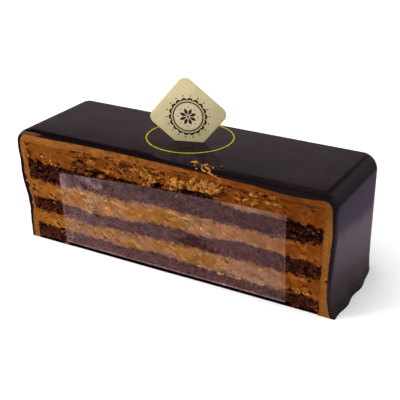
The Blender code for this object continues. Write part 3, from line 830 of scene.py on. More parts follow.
# %% Marks of the knife
# Each mark: x, z, half length, half height, turn in degrees, depth or height. All in mm.
HOLLOWS = (
    (-34.6, 35.0, 3.4, 0.75, -24, 1.1), (-29.6, 32.3, 4.6, 0.85, 4, 1.9),
    (-18.4, 31.9, 7.4, 0.42, 1, 1.6), (-3.1, 33.2, 2.2, 0.75, 12, 1.7),
    (9.6, 33.5, 3.8, 0.55, 3, 1.5), (16.6, 33.4, 4.2, 0.26, 4, 1.1),
    (-22.3, 34.9, 1.1, 0.36, 84, 1.1), (-38.4, 38.6, 2.7, 0.17, -2, 0.7),
    (-42.6, 38.8, 1.2, 0.15, 0, 0.5), (-12.6, 39.3, 2.1, 0.18, 2, 0.7),
    (-59.7, 37.4, 0.9, 0.22, 28, 0.8), (-58.7, 34.4, 1.7, 0.34, -64, 1.3),
    (-45.7, 32.6, 0.9, 0.26, -50, 0.9), (-39.5, 33.5, 0.5, 0.25, 20, 0.6),
    (-2.0, 35.6, 0.8, 0.36, 0, 0.9), (-28.7, 33.9, 0.7, 0.3, 20, 0.8),
    (32.8, 36.7, 1.6, 0.40, 8, 1.0), (38.7, 36.6, 1.3, 0.3, -12, 0.8),
    (37.5, 37.9, 0.7, 0.5, 0, 0.9),
    (-53.3, 9.1, 0.8, 0.22, 38, 0.8), (-46.0, 6.2, 1.7, 0.3, 14, 1.0),
    (41.0, 10.9, 1.2, 0.25, 10, 0.5), (54.4, 11.3, 0.7, 0.35, 0, 0.5),
    (53.0, 9.2, 0.6, 0.35, 0, 0.5), (47.4, 6.3, 1.0, 0.3, 18, 0.9),
    (-43.0, 30.9, 2.9, 0.30, 0, 1.1), (-49.6, 16.9, 3.2, 0.26, 5, 1.0),
    (-55.0, 31.9, 1.4, 0.55, -38, 0.9), (-53.6, 5.2, 2.2, 0.45, 0, 0.6),
    (47.9, 27.4, 2.0, 0.5, 0, 1.0), (48.2, 30.7, 2.2, 0.3, -6, 0.9),
    (48.6, 3.9, 1.5, 0.4, 10, 0.8), (60.2, 13.3, 0.5, 0.6, 0, 0.7),
    (-23.0, 39.5, 2.6, 0.22, 4, 0.9), (-15.2, 39.4, 2.4, 0.24, -1, 0.9),
    (-32.0, 39.1, 2.2, 0.2, 1, 0.7), (-36.6, 39.0, 1.8, 0.22, -3, 0.8),
    (6.8, 39.9, 3.4, 0.2, 0, 0.6),
    (-54.0, 28.0, 1.6, 0.5, 12, 0.5), (-49.0, 25.2, 2.0, 0.35, 8, 0.5),
)
SWELLS = (
    (-6.6, 35.4, 4.2, 1.7, -22, 0.45), (-6.8, 32.5, 2.6, 0.7, 0, 0.5),
    (4.0, 35.4, 3.4, 2.2, 18, 0.95), (10.2, 35.9, 2.3, 1.5, 0, 1.0),
    (12.0, 38.3, 2.4, 0.8, 20, 0.7), (17.2, 36.8, 4.3, 2.5, 0, 1.45),
    (31.6, 34.9, 4.4, 0.8, 0, 0.5), (34.0, 38.0, 2.9, 1.1, 10, 0.65),
    (40.4, 38.3, 2.0, 0.9, 0, 0.6), (41.0, 35.8, 3.8, 0.8, -8, 0.5),
    (51.0, 6.7, 3.6, 0.9, -8, 0.5), (-25.8, 31.7, 1.2, 0.35, 8, 0.5),
    (-60.0, 33.8, 1.4, 1.6, 0, 0.3), (60.4, 13.8, 0.8, 1.2, 0, 0.4),
)
MARK_BREAK = 1.1 * MM


def grain(x, z, size, pattern):
    """Smooth noise from -1 to 1 with features of about this size."""
    return noise.noise(Vector((x / size, pattern, z / size)))


def mark_share(x, z, mark, pattern):
    """How much of a mark is felt at this place: 1 well inside it, 0 outside."""
    mark_x, mark_z, half_length, half_height, turn, _ = mark
    dx, dz = x / MM - mark_x, z / MM - mark_z
    widest = 1.6 * max(half_length, half_height)
    if abs(dx) > widest or abs(dz) > widest:
        return 0.0
    lean = math.radians(turn)
    run = (dx * math.cos(lean) + dz * math.sin(lean)) / half_length
    rise = (dz * math.cos(lean) - dx * math.sin(lean)) / half_height
    ragged = 1.0 + 0.45 * grain(x, z, MARK_BREAK, pattern)
    return eased((1.25 - math.hypot(run, rise) * ragged) / 0.5)


def strongest(x, z, marks, pattern):
    """The strongest of these marks here, each times its own last number."""
    return max(mark_share(x, z, mark, pattern) * mark[5] for mark in marks)


def rim_share(share):
    """1 halfway down the edge of a mark, 0 well inside and outside it."""
    return 4.0 * share * (1.0 - share)


def hollow_at(x, z):
    """Depth of the hollows here, and how much of a lifted lip there is round them."""
    depth, lip = 0.0, 0.0
    for mark in HOLLOWS:
        share = mark_share(x, z, mark, 31.0)
        depth = max(depth, share * mark[5] * MM)
        lip = max(lip, rim_share(share) * min(mark[5], 1.0))
    return depth, lip


def swell_height(x, z):
    """How far cream piled up here stands out."""
    return strongest(x, z, SWELLS, 37.0) * MM


print("marks:", len(HOLLOWS), "hollows and", len(SWELLS), "swells")

# %% Pushed aside
# The push: how far, the size of what moves together, and where its noise is read.
COARSE_PUSH = (0.60 * MM, 1.9 * MM, Vector((3.1, 7.7, 1.3)))
FINE_PUSH = (0.30 * MM, 0.75 * MM, Vector((9.2, 2.4, 5.8)))
PUSH_APART = Vector((31.7, 12.9, 47.3))
# Cream is pushed less than crumb, which starts this far inside the stack.
CALM_IN_CREAM = 0.16
CRUMB_BORDER = 1.2 * MM
FOOT_HOLDS = 1.5 * MM


def noise_push(x, z, far, size, offset):
    """A push in x and z. It is read from two plain noises far apart, because the numbers of
    noise.noise_vector are drawn anew each time that Blender starts.
    """
    place = Vector((x, 0.0, z)) / size + offset
    return far * noise.noise(place), far * noise.noise(place + PUSH_APART)


def pushed_aside(x, z):
    """How far the knife pushed this place of the cut face aside, in x and z."""
    coarse_x, coarse_z = noise_push(x, z, *COARSE_PUSH)
    fine_x, fine_z = noise_push(x, z, *FINE_PUSH)
    in_crumb = before(z, along(STACK_TOP, x) + 0.3 * MM, CRUMB_BORDER)
    in_crumb *= past(x, stack_left(z) - 0.5 * MM, CRUMB_BORDER)
    in_crumb *= before(x, STACK_RIGHT + 0.5 * MM, CRUMB_BORDER)
    left_tear = 0.7 * hump(z, 19.0 * MM, 12.0 * MM) * before(x, -58.6 * MM, 1.0 * MM)
    calm = max(mix(CALM_IN_CREAM, 1.0, in_crumb), left_tear)
    return (coarse_x + fine_x) * calm, (coarse_z + fine_z) * calm * min(z / FOOT_HOLDS, 1.0)


print("pushed aside at the middle:", [round(push, 5) for push in pushed_aside(0.0, 20.0 * MM)])

# %% [markdown]
# ## Relief of sponge and of cream
#
# Sponge is an open crumb: rounded clumps with dark gaps between them, which is just what a
# Voronoi pattern draws, with the distance to the nearest cell border as the gap. Cream is
# smooth, with the faint ridges that the knife left. Both get the marks from above.

# %% Flakes and crumbs
# Length and height of the crumbs and flakes that the knife left, and a number for each pattern.
SPONGE_CRUMB = (1.7 * MM, 1.15 * MM, 3.0)
SPONGE_FINE_CRUMB = (1.15 * MM, 0.80 * MM, 8.0)
CREAM_FLAKE = (3.2 * MM, 1.4 * MM, 19.0)
CREAM_FINE_FLAKE = (1.6 * MM, 0.75 * MM, 27.0)
CLOD_FLAKE = (3.0 * MM, 2.1 * MM, 23.0)
CLOD_FINE_FLAKE = (0.95 * MM, 0.62 * MM, 29.0)


def tilted(x, z):
    """The place in the knife's own direction: along the stroke and across it."""
    run = x * math.cos(KNIFE_TILT) + z * math.sin(KNIFE_TILT)
    rise = z * math.cos(KNIFE_TILT) - x * math.sin(KNIFE_TILT)
    return run, rise


def flakes(run, rise, length, height, pattern):
    """1 in the gaps between flakes, 0 in their middles; and each flake's own number, 0 to 1."""
    near, points = noise.voronoi(Vector((run / length, pattern, rise / height)))
    return 1.0 - min((near[1] - near[0]) / 0.45, 1.0), noise.cell(points[0] * 9.7)


def share_over(number, start):
    """How far a flake's number is over the start, as a share of what is left up to 1."""
    return max(number - start, 0.0) / (1.0 - start)


print("the knife's direction at x = 1:", [round(part, 3) for part in tilted(1.0, 0.0)])

# %% Relief of the sponge
def sponge_relief(x, z):
    """Depth of the crumb behind the cut face, and its tone: 1 shut in from light, -1 catching it."""
    run, rise = tilted(x, z)
    gap, level = flakes(run, rise, *SPONGE_CRUMB)
    fine_gap, fine_level = flakes(run, rise, *SPONGE_FINE_CRUMB)
    lift = grain(x, z, 2.8 * MM, 5.0)
    gaps = 0.34 * gap ** 2 + 0.16 * fine_gap ** 2
    depth = 0.26 + 0.22 * lift + gaps + 0.24 * (level - 0.5)
    shut_in = 0.85 * gap ** 3 + 0.30 * fine_gap ** 3 + 0.418 * share_over(level, 0.62)
    catching = 0.55 * share_over(fine_level, 0.78) * (1.0 - gap)
    return depth * MM, shut_in - catching


print("sponge at the middle:", [round(value, 5) for value in sponge_relief(0.0, 29.0 * MM)])

# %% Relief of the cream
# How torn the cream is in places evenly spaced from the left end to the right one.
TORN = (0.15, 0.20, 0.60, 0.60, 0.50, 0.45, 0.40, 0.22, 0.05)
TORN_IN_TOP = 0.74
# The film lies over this part, and pressed its cream.
PRESSED_LEFT = -44.0 * MM
PRESSED_RIGHT = 46.0 * MM
PRESSED_TOP = 30.5 * MM


def how_torn(x, z):
    """How rough the cream is here: most behind the film, least at the right and at the top."""
    torn = along(TORN, x) / MM * mix(1.0, TORN_IN_TOP, past(z, 30.0 * MM, 3.0 * MM))
    return min(max(torn * (1.0 + 2.2 * grain(x, z, 5.0 * MM, 61.0)), 0.0), 1.0)


def pressed_flat(x, z):
    """1 behind the film, where the cream was pressed and its cracks are filled, 0 elsewhere."""
    inside = min(x - PRESSED_LEFT, PRESSED_RIGHT - x, PRESSED_TOP - z)
    return past(inside, 0.0, 1.5 * MM)


def cream_relief(x, z, torn_share=1.0):
    """The same for cream: ridges along the knife's stroke, and flakes where it tore.

    Pressed cream has fainter cracks than open cream, and more of its flakes catch the light.
    """
    run, rise = tilted(x, z)
    pressed = pressed_flat(x, z)
    torn = torn_share * how_torn(x, z)
    ridge = noise.noise(Vector((run / (3.4 * MM), 11.0, rise / (0.8 * MM))))
    wide = grain(x, z, 5.0 * MM, 15.0)
    crack, level = flakes(run, rise, *CREAM_FLAKE)
    fine_crack, fine_level = flakes(run, rise, *CREAM_FINE_FLAKE)
    cracks = 0.26 * crack ** 2 + 0.10 * fine_crack ** 2 + 0.26 * (level - 0.5)
    depth = 0.07 * ridge + 0.10 * wide + torn * cracks
    whole = 1.0 - fine_crack
    shut_in = 0.34 * crack ** 4 + 0.45 * share_over(1.0 - fine_level, 0.88) * whole
    layered = mix(0.66, 0.50, pressed) * (level - mix(0.60, 0.48, pressed))
    catching = mix(0.95, 1.25, pressed) * share_over(fine_level, 0.70) * whole
    tone = 0.10 * wide + torn * (mix(1.0, 0.55, pressed) * shut_in + layered - catching)
    return depth * MM, tone


def torn_relief(x, z, swell):
    """Cream that piled up in crumbly clods, added where a swell is."""
    run, rise = tilted(x, z)
    crack, level = flakes(run, rise, *CLOD_FLAKE)
    fine_crack, fine_level = flakes(run, rise, *CLOD_FINE_FLAKE)
    cracks = 0.62 * crack ** 2 + 0.32 * fine_crack ** 2 + 0.55 * (level - 0.5)
    share = min(swell / (0.45 * MM), 1.0)
    # The piled cream is painted paler, as lit; its cracks get painted shade, and its edge a painted
    # dark outline.
    shut_in = 0.70 * crack ** 4 + 0.50 * fine_crack ** 4
    catching = 0.66 + 0.6 * share_over(fine_level, 0.6)
    tone = share * (shut_in - catching) + 0.40 * rim_share(share)
    return share * cracks * MM - swell, tone


print("cream at the middle:", [round(value, 5) for value in cream_relief(0.0, 20.0 * MM)])

# %% Relief with its marks
# Nothing stands further forward than this, which is just inside the frame's box.
FRONT_LIMIT = -22.35 * MM
LIP_DEPTH = 0.14 * MM
# The gap at the foot, painted dark as shade: its height beside the film and under it, and how
# deep it goes.
GAP_BESIDE_FILM = 0.75 * MM
GAP_UNDER_FILM = 1.25 * MM
GAP_DEPTH = 1.5 * MM


def cream_at_cut(x, z, torn_share=1.0):
    """Relief of any cream at the cut: smooth, torn or hollow."""
    depth, tone = cream_relief(x, z, torn_share)
    swell = swell_height(x, z)
    if swell > 0.0:
        piled_depth, piled_tone = torn_relief(x, z, swell)
        depth += piled_depth
        tone += piled_tone
    hollow, lip = hollow_at(x, z)
    # Hollows are painted dark as shade, and their lifted lips paler as a painted highlight.
    depth += hollow - LIP_DEPTH * lip
    tone += hollow / MM - 0.55 * lip
    return depth, min(max(tone, -1.0), 1.0)


def sponge_at_cut(x, z):
    """Relief of any sponge at the cut, with painted shade in its hollows and in the gap at the foot."""
    depth, tone = sponge_relief(x, z)
    hollow, lip = hollow_at(x, z)
    under_film = before(abs(x - 1.5 * MM), 47.0 * MM, 1.5 * MM)
    gap_top = mix(GAP_BESIDE_FILM, GAP_UNDER_FILM, under_film)
    gap_top += 0.15 * MM * grain(x, 0.0, 2.5 * MM, 41.0)
    low = before(z, gap_top, 0.3 * MM)
    gap_depth = GAP_DEPTH * low * past(z, 0.12 * MM, 0.2 * MM)
    depth = depth * past(z, 0.0, 0.8 * MM) + hollow + gap_depth
    # Painted shade in hollows and in the gap at the foot; the sponge is also paler at the foot and
    # darker towards the top.
    tone += 1.1 * hollow / MM + 2.0 * low + mix(-0.18, 0.20, past(z, 0.0, 32.0 * MM))
    return depth, min(max(tone, -1.0), 1.0)


print("with marks, a hollow:", [round(value, 5) for value in cream_at_cut(-29.6 * MM, 32.3 * MM)])

# %% Where the coat stands proud
def stack_recess(x, z):
    """How far the filling lies behind the coat, which stands proud of it, most at the right."""
    from_top = before(z, along(STACK_TOP, x) + 0.15 * MM, 0.8 * MM)
    from_side = before(x, STACK_RIGHT + 0.3 * MM, 0.9 * MM)
    to_right = past(x, -6.0 * MM, 30.0 * MM)
    high = past(z, 30.0 * MM, 5.0 * MM)
    at_left = 0.16 * past(x, -46.0 * MM, 8.0 * MM)
    return MM * from_side * from_top * (at_left + to_right * mix(0.22, 0.75, high))


def under_the_coat(x, z):
    """The shade of the coat's proud edge on the filling just inside it, deeper at the right."""
    below = along(STACK_TOP, x) - z
    reach = mix(1.3, 2.4, past(x, 24.0 * MM, 8.0 * MM)) * MM
    from_top = (1.0 - past(below, 0.0, reach)) * past(x, -44.0 * MM, 10.0 * MM)
    beside = (1.0 - before(x, STACK_RIGHT, 1.1 * MM)) * past(z, 8.0 * MM, 6.0 * MM)
    high = 0.20 * past(z, 30.5 * MM, 2.0 * MM)
    return max(0.50 * from_top, 0.45 * beside, high)


print("the filling at the top right lies back by", round(stack_recess(40.0 * MM, 36.0 * MM) / MM, 2))

# %% [markdown]
# ## From bmesh to finished piece
#
# Glaze and coat also start the same way, as one flat grid that is bent over rows of arches.
# Building them face by face would take long lists; a grid already knows its neighbours.

# %% Finishing a piece
def finish_piece(name, bm, finish, stands_for=None, smooth_angle=45.0):
    """Turns the bmesh into a piece that rides on the slice."""
    mesh = bpy.data.meshes.new(name)
    bm.to_mesh(mesh)
    bm.free()
    mesh.shade_smooth()
    mesh.set_sharp_from_angle(angle=math.radians(smooth_angle))
    mesh.materials.append(finish)
    piece = bpy.data.objects.new(name, mesh)
    bpy.context.scene.collection.objects.link(piece)
    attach(piece, "root")
    if stands_for:
        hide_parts(stands_for)
    print(name, "has", len(mesh.polygons), "faces")
    return piece


print("pieces can be finished")

# %% Shells bent from a grid
def fill_loop(bm, edges):
    """Closes a ring of edges with one flat face."""
    return bmesh.ops.edgeloop_fill(bm, edges=edges)["faces"]


def close_arch_shell(bm, by_place, rows, columns):
    """Closes a grid whose rows are arches: its two back walls and its foot.

    by_place gives the vertex of each (row, column), and columns run from foot to foot.
    """
    def run_of(places):
        """The edges from each of these places to the next."""
        verts = [by_place[place] for place in places]
        return [bm.edges.get(pair) for pair in zip(verts, verts[1:])]

    first_sill = bm.edges.new((by_place[0, 0], by_place[0, columns]))
    last_sill = bm.edges.new((by_place[rows, 0], by_place[rows, columns]))
    fill_loop(bm, run_of([(0, c) for c in range(columns + 1)]) + [first_sill])
    fill_loop(bm, run_of([(rows, c) for c in range(columns + 1)]) + [last_sill])
    left_foot = run_of([(r, 0) for r in range(rows + 1)])
    right_foot = run_of([(r, columns) for r in range(rows + 1)])
    fill_loop(bm, left_foot + right_foot + [first_sill, last_sill])


def arch_shell(rows, painted):
    """A grid bent over rows of (y, points), with a layer for the number painted on it.

    A point is x and z, and may add its depth behind the row and the painted number.
    """
    last_row, last_column = len(rows) - 1, len(rows[0][1]) - 1
    bm = bmesh.new()
    paint = bm.verts.layers.float.new(painted)
    bmesh.ops.create_grid(bm, x_segments=last_column, y_segments=last_row, size=0.5)
    by_place = {}
    for vert in bm.verts:
        row = round((vert.co.y + 0.5) * last_row)
        column = round((vert.co.x + 0.5) * last_column)
        by_place[row, column] = vert
    for (row, column), vert in by_place.items():
        y, points = rows[row]
        x, z, depth, number = (*points[column], 0.0, 0.0)[:4]
        vert.co = (x, y + depth, z)
        vert[paint] = number
    return bm, by_place


print("helpers ready for the shells")

# %% [markdown]
# ## The glaze
#
# The glaze is a skin about 1.3 mm thick over the top, both ends and the back, open at the cut.
# It could be a block with the coat's shape cut out by a Boolean, but a Boolean leaves uneven
# faces, and a mirror finish shows them. Here one grid is bent instead: it starts at the back
# of the pocket, comes forward inside, turns over the rim of the cut and goes back outside.

# %% Rows of a skin
def skins_to_back(skin, steps, back, rounds, turns, share_of_flare):
    """Rows of a skin over its rounded back, from the start of the rounding to the back face."""
    rows = []
    for step in range(turns + 1):
        distance = max(rounds) * (1.0 - math.sin(math.pi / 2 * step / turns))
        insets = tuple(rounding(distance, each, each) for each in rounds)
        y = back - distance
        rows.append((y, arch(skin, insets, steps, share_of_flare * foot_flare(y))))
    return rows


def rim_between(inner, outer, steps):
    """Rows across a rim, from one arch to another in the plane of the cut."""
    rows = []
    for step in range(steps + 1):
        t = step / steps
        rows.append([(mix(a[0], b[0], t), mix(a[1], b[1], t)) for a, b in zip(inner, outer)])
    return rows


def pushed(points, share):
    """Points of the cut face, moved aside as everything there is."""
    moved = []
    for x, z in points:
        push_x, push_z = pushed_aside(x, z)
        moved.append((x + push_x * share, max(z + push_z * share, 0.0)))
    return moved


print("rows can be laid to the back and across a rim")

# %% Glaze shell
GLAZE_STEPS = (48, 14, 150)
BACK_TOP_ROUND = 3.4 * MM
BACK_LEFT_ROUND = 4.0 * MM
BACK_RIGHT_ROUND = 6.0 * MM
GLAZE_BACK_ROUNDS = (BACK_LEFT_ROUND, BACK_TOP_ROUND, BACK_RIGHT_ROUND)
GLAZE_AT_BACK = 1.4 * MM
COAT_BACK = BACK_FACE - GLAZE_AT_BACK
COAT_BACK_ROUNDS = tuple(each - GLAZE_AT_BACK for each in GLAZE_BACK_ROUNDS)
COAT_SHARE_OF_FLARE = 0.85
CUT_EDGE_ROUND = 3.0 * MM
CUT_EDGE_DROP = 0.5 * MM
RIM_ROWS = 5
CUT_EDGE_ROWS = 9
CUT_EDGE_CROWDING = 1.7
MIDDLE_ROWS = 26
BACK_ROWS = 10
COAT_BACK_ROWS = 4
BEHIND_THE_RIM = 2.0 * MM
# Where cream was smeared on the glaze: x, z, half length, half height, turn, how strongly.
SMEARS = ((-58.2, 42.15, 4.8, 0.85, 6, 0.8), (-61.2, 1.0, 1.3, 3.6, 0, 1.0))
SMEARED_DEPTH = 0.3 * MM

flare_at_cut = foot_flare(CUT_FACE)
coat_at_cut = arch(COAT_SKIN, (0.0, 0.0, 0.0), GLAZE_STEPS, COAT_SHARE_OF_FLARE * flare_at_cut)
glaze_at_cut = arch(GLAZE_SKIN, (CUT_EDGE_DROP,) * 3, GLAZE_STEPS, flare_at_cut)

glaze_rows = skins_to_back(
    COAT_SKIN, GLAZE_STEPS, COAT_BACK, COAT_BACK_ROUNDS, COAT_BACK_ROWS, COAT_SHARE_OF_FLARE
)[::-1]
glaze_rows.append((CUT_FACE + BEHIND_THE_RIM, coat_at_cut))
for row, points in enumerate(rim_between(coat_at_cut, glaze_at_cut, RIM_ROWS)[:-1]):
    glaze_rows.append((CUT_FACE, pushed(points, 1.0 - row / RIM_ROWS)))
for step in range(CUT_EDGE_ROWS + 1):
    distance = CUT_EDGE_ROUND * (step / CUT_EDGE_ROWS) ** CUT_EDGE_CROWDING
    drop = rounding(distance, CUT_EDGE_ROUND, CUT_EDGE_DROP)
    y = CUT_FACE + distance
    glaze_rows.append((y, arch(GLAZE_SKIN, (drop,) * 3, GLAZE_STEPS, foot_flare(y))))
rounding_start = BACK_FACE - max(GLAZE_BACK_ROUNDS)
for step in range(1, MIDDLE_ROWS):
    y = mix(CUT_FACE + CUT_EDGE_ROUND, rounding_start, step / MIDDLE_ROWS)
    glaze_rows.append((y, arch(GLAZE_SKIN, (0.0, 0.0, 0.0), GLAZE_STEPS, foot_flare(y))))
glaze_rows += skins_to_back(GLAZE_SKIN, GLAZE_STEPS, BACK_FACE, GLAZE_BACK_ROUNDS, BACK_ROWS, 1.0)

glaze_bm, by_place = arch_shell(glaze_rows, "smeared")
close_arch_shell(glaze_bm, by_place, len(glaze_rows) - 1, len(coat_at_cut) - 1)
smear_layer = glaze_bm.verts.layers.float["smeared"]
for vert in glaze_bm.verts:
    if vert.co.y < CUT_FACE + SMEARED_DEPTH:
        vert[smear_layer] = strongest(vert.co.x, vert.co.z, SMEARS, 43.0)
bmesh.ops.recalc_face_normals(glaze_bm, faces=glaze_bm.faces)
glaze_shell = finish_piece("glaze_shell", glaze_bm, glaze_finish, "glaze", 38.0)

# %% [markdown]
# ## The cream coat
#
# Under the glaze lies a coat of the same cream as the filling, spread with a palette knife.
# Only its rim shows, as a frame round the layers. It is bent from a grid like the glaze, with
# most of its rows in the rim, where the smears and tears are.

# %% Coat shell
COAT_STEPS = (96, 9, 330)
COAT_RIM_ROWS = 10
COAT_THICKNESS_BACK = 2.5 * MM
COAT_OFF_GLAZE = 0.05 * MM
STACK_BACK = COAT_BACK - COAT_THICKNESS_BACK
COAT_OVERLAP = 0.12 * MM
COAT_TORN = 0.35
CREST_ROWS = 2.5


def coat_light(x, z, row):
    """How much painted highlight the coat gets: on the crest at its inner rows, and down the right."""
    crest = 0.38 * eased(1.0 - row / CREST_ROWS) * past(x, -44.0 * MM, 8.0 * MM)
    crest *= before(x, 14.0 * MM, 14.0 * MM) * (0.4 + 1.6 * grain(x, z, 2.5 * MM, 83.0))
    return crest + 0.13 * past(x, 57.6 * MM, 0.8 * MM) * before(z, 34.0 * MM, 5.0 * MM)


def coat_shade(x, z):
    """How much painted shade the coat gets: along the top, towards the right."""
    return 0.24 * past(x, 20.0 * MM, 12.0 * MM) * past(z, 34.0 * MM, 2.0 * MM)


stack_at_cut = arch(STACK_SKIN, (COAT_OVERLAP,) * 3, COAT_STEPS)
coat_edge = arch(COAT_SKIN, (0.0, 0.0, 0.0), COAT_STEPS, COAT_SHARE_OF_FLARE * flare_at_cut)
coat_rows = [(STACK_BACK, stack_at_cut), (CUT_FACE + BEHIND_THE_RIM, stack_at_cut)]
for row, points in enumerate(rim_between(stack_at_cut, coat_edge, COAT_RIM_ROWS)):
    with_depth = []
    for (x, z), (old_x, old_z) in zip(pushed(points, 1.0), points):
        depth, tone = cream_at_cut(old_x, old_z, COAT_TORN)
        depth = max(depth, FRONT_LIMIT - CUT_FACE)
        tone += coat_shade(x, z) - coat_light(x, z, row)
        with_depth.append((x, z, depth, max(tone, -1.0)))
    coat_rows.append((CUT_FACE, with_depth))
coat_rows.append((CUT_FACE + BEHIND_THE_RIM, coat_edge))
coat_rows += skins_to_back(
    COAT_SKIN, COAT_STEPS, COAT_BACK - COAT_OFF_GLAZE, COAT_BACK_ROUNDS, COAT_BACK_ROWS,
    COAT_SHARE_OF_FLARE,
)

coat_bm, by_place = arch_shell(coat_rows, "painted_light_and_tone")
close_arch_shell(coat_bm, by_place, len(coat_rows) - 1, len(stack_at_cut) - 1)
bmesh.ops.recalc_face_normals(coat_bm, faces=coat_bm.faces)
finish_piece("cream_coat", coat_bm, coat_finish, "coat", 50.0)

# %% [markdown]
# ## The six layers
#
# Each layer is a slab with one face at the cut. That face is a fine grid laid between the two
# seams, moved by the relief, and its rim is drawn straight back to the coat. The seams come
# from the same heights as the frame's solids, so a layer stays where its solid is.

# %% Seams
# Heights in mm, evenly spaced from the left end to the right one.
BASE_SPONGE_TOP = (6.2, 6.2, 6.0, 5.7, 6.7, 5.8, 5.3, 5.4, 4.6)
MID_SPONGE_FLOOR = (11.7, 12.2, 11.2, 11.9, 12.3, 12.5, 12.8, 12.4, 12.8)
MID_SPONGE_TOP = (17.0, 17.1, 16.0, 16.5, 18.4, 17.8, 19.3, 18.7, 18.0)
TOP_SPONGE_FLOOR = (24.8, 23.9, 24.7, 24.4, 25.6, 24.9, 24.5, 24.5, 25.7)
TOP_SPONGE_TOP = (31.5, 31.4, 30.9, 31.6, 32.3, 32.9, 31.0, 31.5, 31.6)
# The height and the length of a seam's slow wobble, and how deep the seam is.
SEAM_WOBBLE = (0.35 * MM, 4.5 * MM)
SEAM_GROOVE = 0.22 * MM
# The seams from the foot up, each with how far it is torn up and down.
SEAMS = (
    (BASE_SPONGE_TOP, 0.55 * MM), (MID_SPONGE_FLOOR, 0.70 * MM), (MID_SPONGE_TOP, 0.50 * MM),
    (TOP_SPONGE_FLOOR, 0.75 * MM), (TOP_SPONGE_TOP, 0.50 * MM),
)


def seam(heights, x):
    """A seam between sponge and cream, with the slow wobble that the frame's solids have."""
    height, length = SEAM_WOBBLE
    return along(heights, x) + height * grain(x, 0.0, length, heights[0])


def from_seam(x, z):
    """Signed distance from the nearest seam, above 0 in cream, and how torn that seam is."""
    heights = [seam(heights, x) for heights, _ in SEAMS]
    nearest = min(range(len(SEAMS)), key=lambda index: abs(z - heights[index]))
    in_cream = sum(height < z for height in heights) % 2 == 1
    distance = abs(z - heights[nearest])
    return (distance if in_cream else -distance), SEAMS[nearest][1]


def crumb_at(x, z):
    """1 where crumb shows at the cut, 0 where cream does, with ragged borders between."""
    run, rise = tilted(x, z)
    ragged = 1.9 * noise.noise(Vector((run / (2.0 * MM), 71.0, rise / (0.85 * MM))))
    ragged += 1.1 * noise.noise(Vector((run / (0.9 * MM), 73.0, rise / (0.45 * MM))))
    distance, torn = from_seam(x, z)
    ragged = min(max(ragged, -1.25), 1.25)
    return eased(0.5 + (ragged * torn - distance) / (0.25 * MM))


def groove_at(x, z):
    """1 in a seam, where two layers part a little, and 0 away from it."""
    near = before(abs(from_seam(x, z)[0]), 0.6 * MM, 0.6 * MM)
    return near * (0.5 + grain(x, z, 2.2 * MM, 67.0))


def layer_at_cut(x, z):
    """Depth and tone of the layers at this place of the cut, and how much crumb shows there."""
    share = crumb_at(x, z)
    cream_depth, cream_tone = cream_at_cut(x, z)
    sponge_depth, sponge_tone = sponge_at_cut(x, z)
    groove = groove_at(x, z)
    depth = mix(cream_depth, sponge_depth, share) + stack_recess(x, z) + SEAM_GROOVE * groove
    shade = under_the_coat(x, z) * (1.0 - min(swell_height(x, z) / (0.6 * MM), 1.0))
    # Seams also get painted shade in their grooves.
    tone = mix(cream_tone, sponge_tone, share) + shade + 0.45 * max(groove, 0.0)
    return depth, min(max(tone, -1.0), 1.0), share


print("crumb at the middle of the upper sponge:", round(crumb_at(0.0, 29.0 * MM), 2))

# %% Layers
LAYER_COLUMNS = 520
ROW_HEIGHT = 0.24 * MM
LAYER_OFF_COAT = 0.1 * MM


def lay_layer(name, node, floor_heights, ceiling_heights, is_sponge):
    """One layer: a fine grid on the cut face, its rim drawn back, and a flat back."""
    middle = along(ceiling_heights, 0.0) - (along(floor_heights, 0.0) if floor_heights else 0.0)
    rows = round(middle / ROW_HEIGHT)
    bm = bmesh.new()
    painted_light_and_tone = bm.verts.layers.float.new("painted_light_and_tone")
    crumb = bm.verts.layers.float.new("crumb")
    bmesh.ops.create_grid(bm, x_segments=LAYER_COLUMNS, y_segments=rows, size=0.5)
    for vert in bm.verts:
        across, up = vert.co.x + 0.5, vert.co.y + 0.5
        seam_x = mix(STACK_LEFT, STACK_RIGHT, across)
        low = seam(floor_heights, seam_x) if floor_heights else 0.0
        is_top = ceiling_heights is STACK_TOP
        high = along(STACK_TOP, seam_x) if is_top else seam(ceiling_heights, seam_x)
        z = mix(low, high, up)
        x = mix(stack_left(z), STACK_RIGHT, across)
        depth, vert[painted_light_and_tone], vert[crumb] = layer_at_cut(x, z)
        push_x, push_z = pushed_aside(x, z)
        vert.co = (x + push_x, max(CUT_FACE + depth, FRONT_LIMIT), z + push_z)
    rim = [edge for edge in bm.edges if edge.is_boundary]
    drawn = bmesh.ops.extrude_edge_only(bm, edges=rim)["geom"]
    for vert in (part for part in drawn if isinstance(part, bmesh.types.BMVert)):
        vert.co.y = STACK_BACK - LAYER_OFF_COAT
    back_rim = [part for part in drawn if isinstance(part, bmesh.types.BMEdge) and part.is_boundary]
    fill_loop(bm, back_rim)
    bmesh.ops.recalc_face_normals(bm, faces=bm.faces)
    finish = sponge_finish if is_sponge else cream_finish
    return finish_piece(name, bm, finish, node, 65.0)


lay_layer("base_sponge", "sponge_base", None, BASE_SPONGE_TOP, True)
lay_layer("low_cream", "cream_low", BASE_SPONGE_TOP, MID_SPONGE_FLOOR, False)
lay_layer("middle_sponge", "sponge_mid", MID_SPONGE_FLOOR, MID_SPONGE_TOP, True)
lay_layer("middle_cream", "cream_mid", MID_SPONGE_TOP, TOP_SPONGE_FLOOR, False)
lay_layer("upper_sponge", "sponge_top", TOP_SPONGE_FLOOR, TOP_SPONGE_TOP, True)
lay_layer("upper_cream", "cream_top", TOP_SPONGE_TOP, STACK_TOP, False)

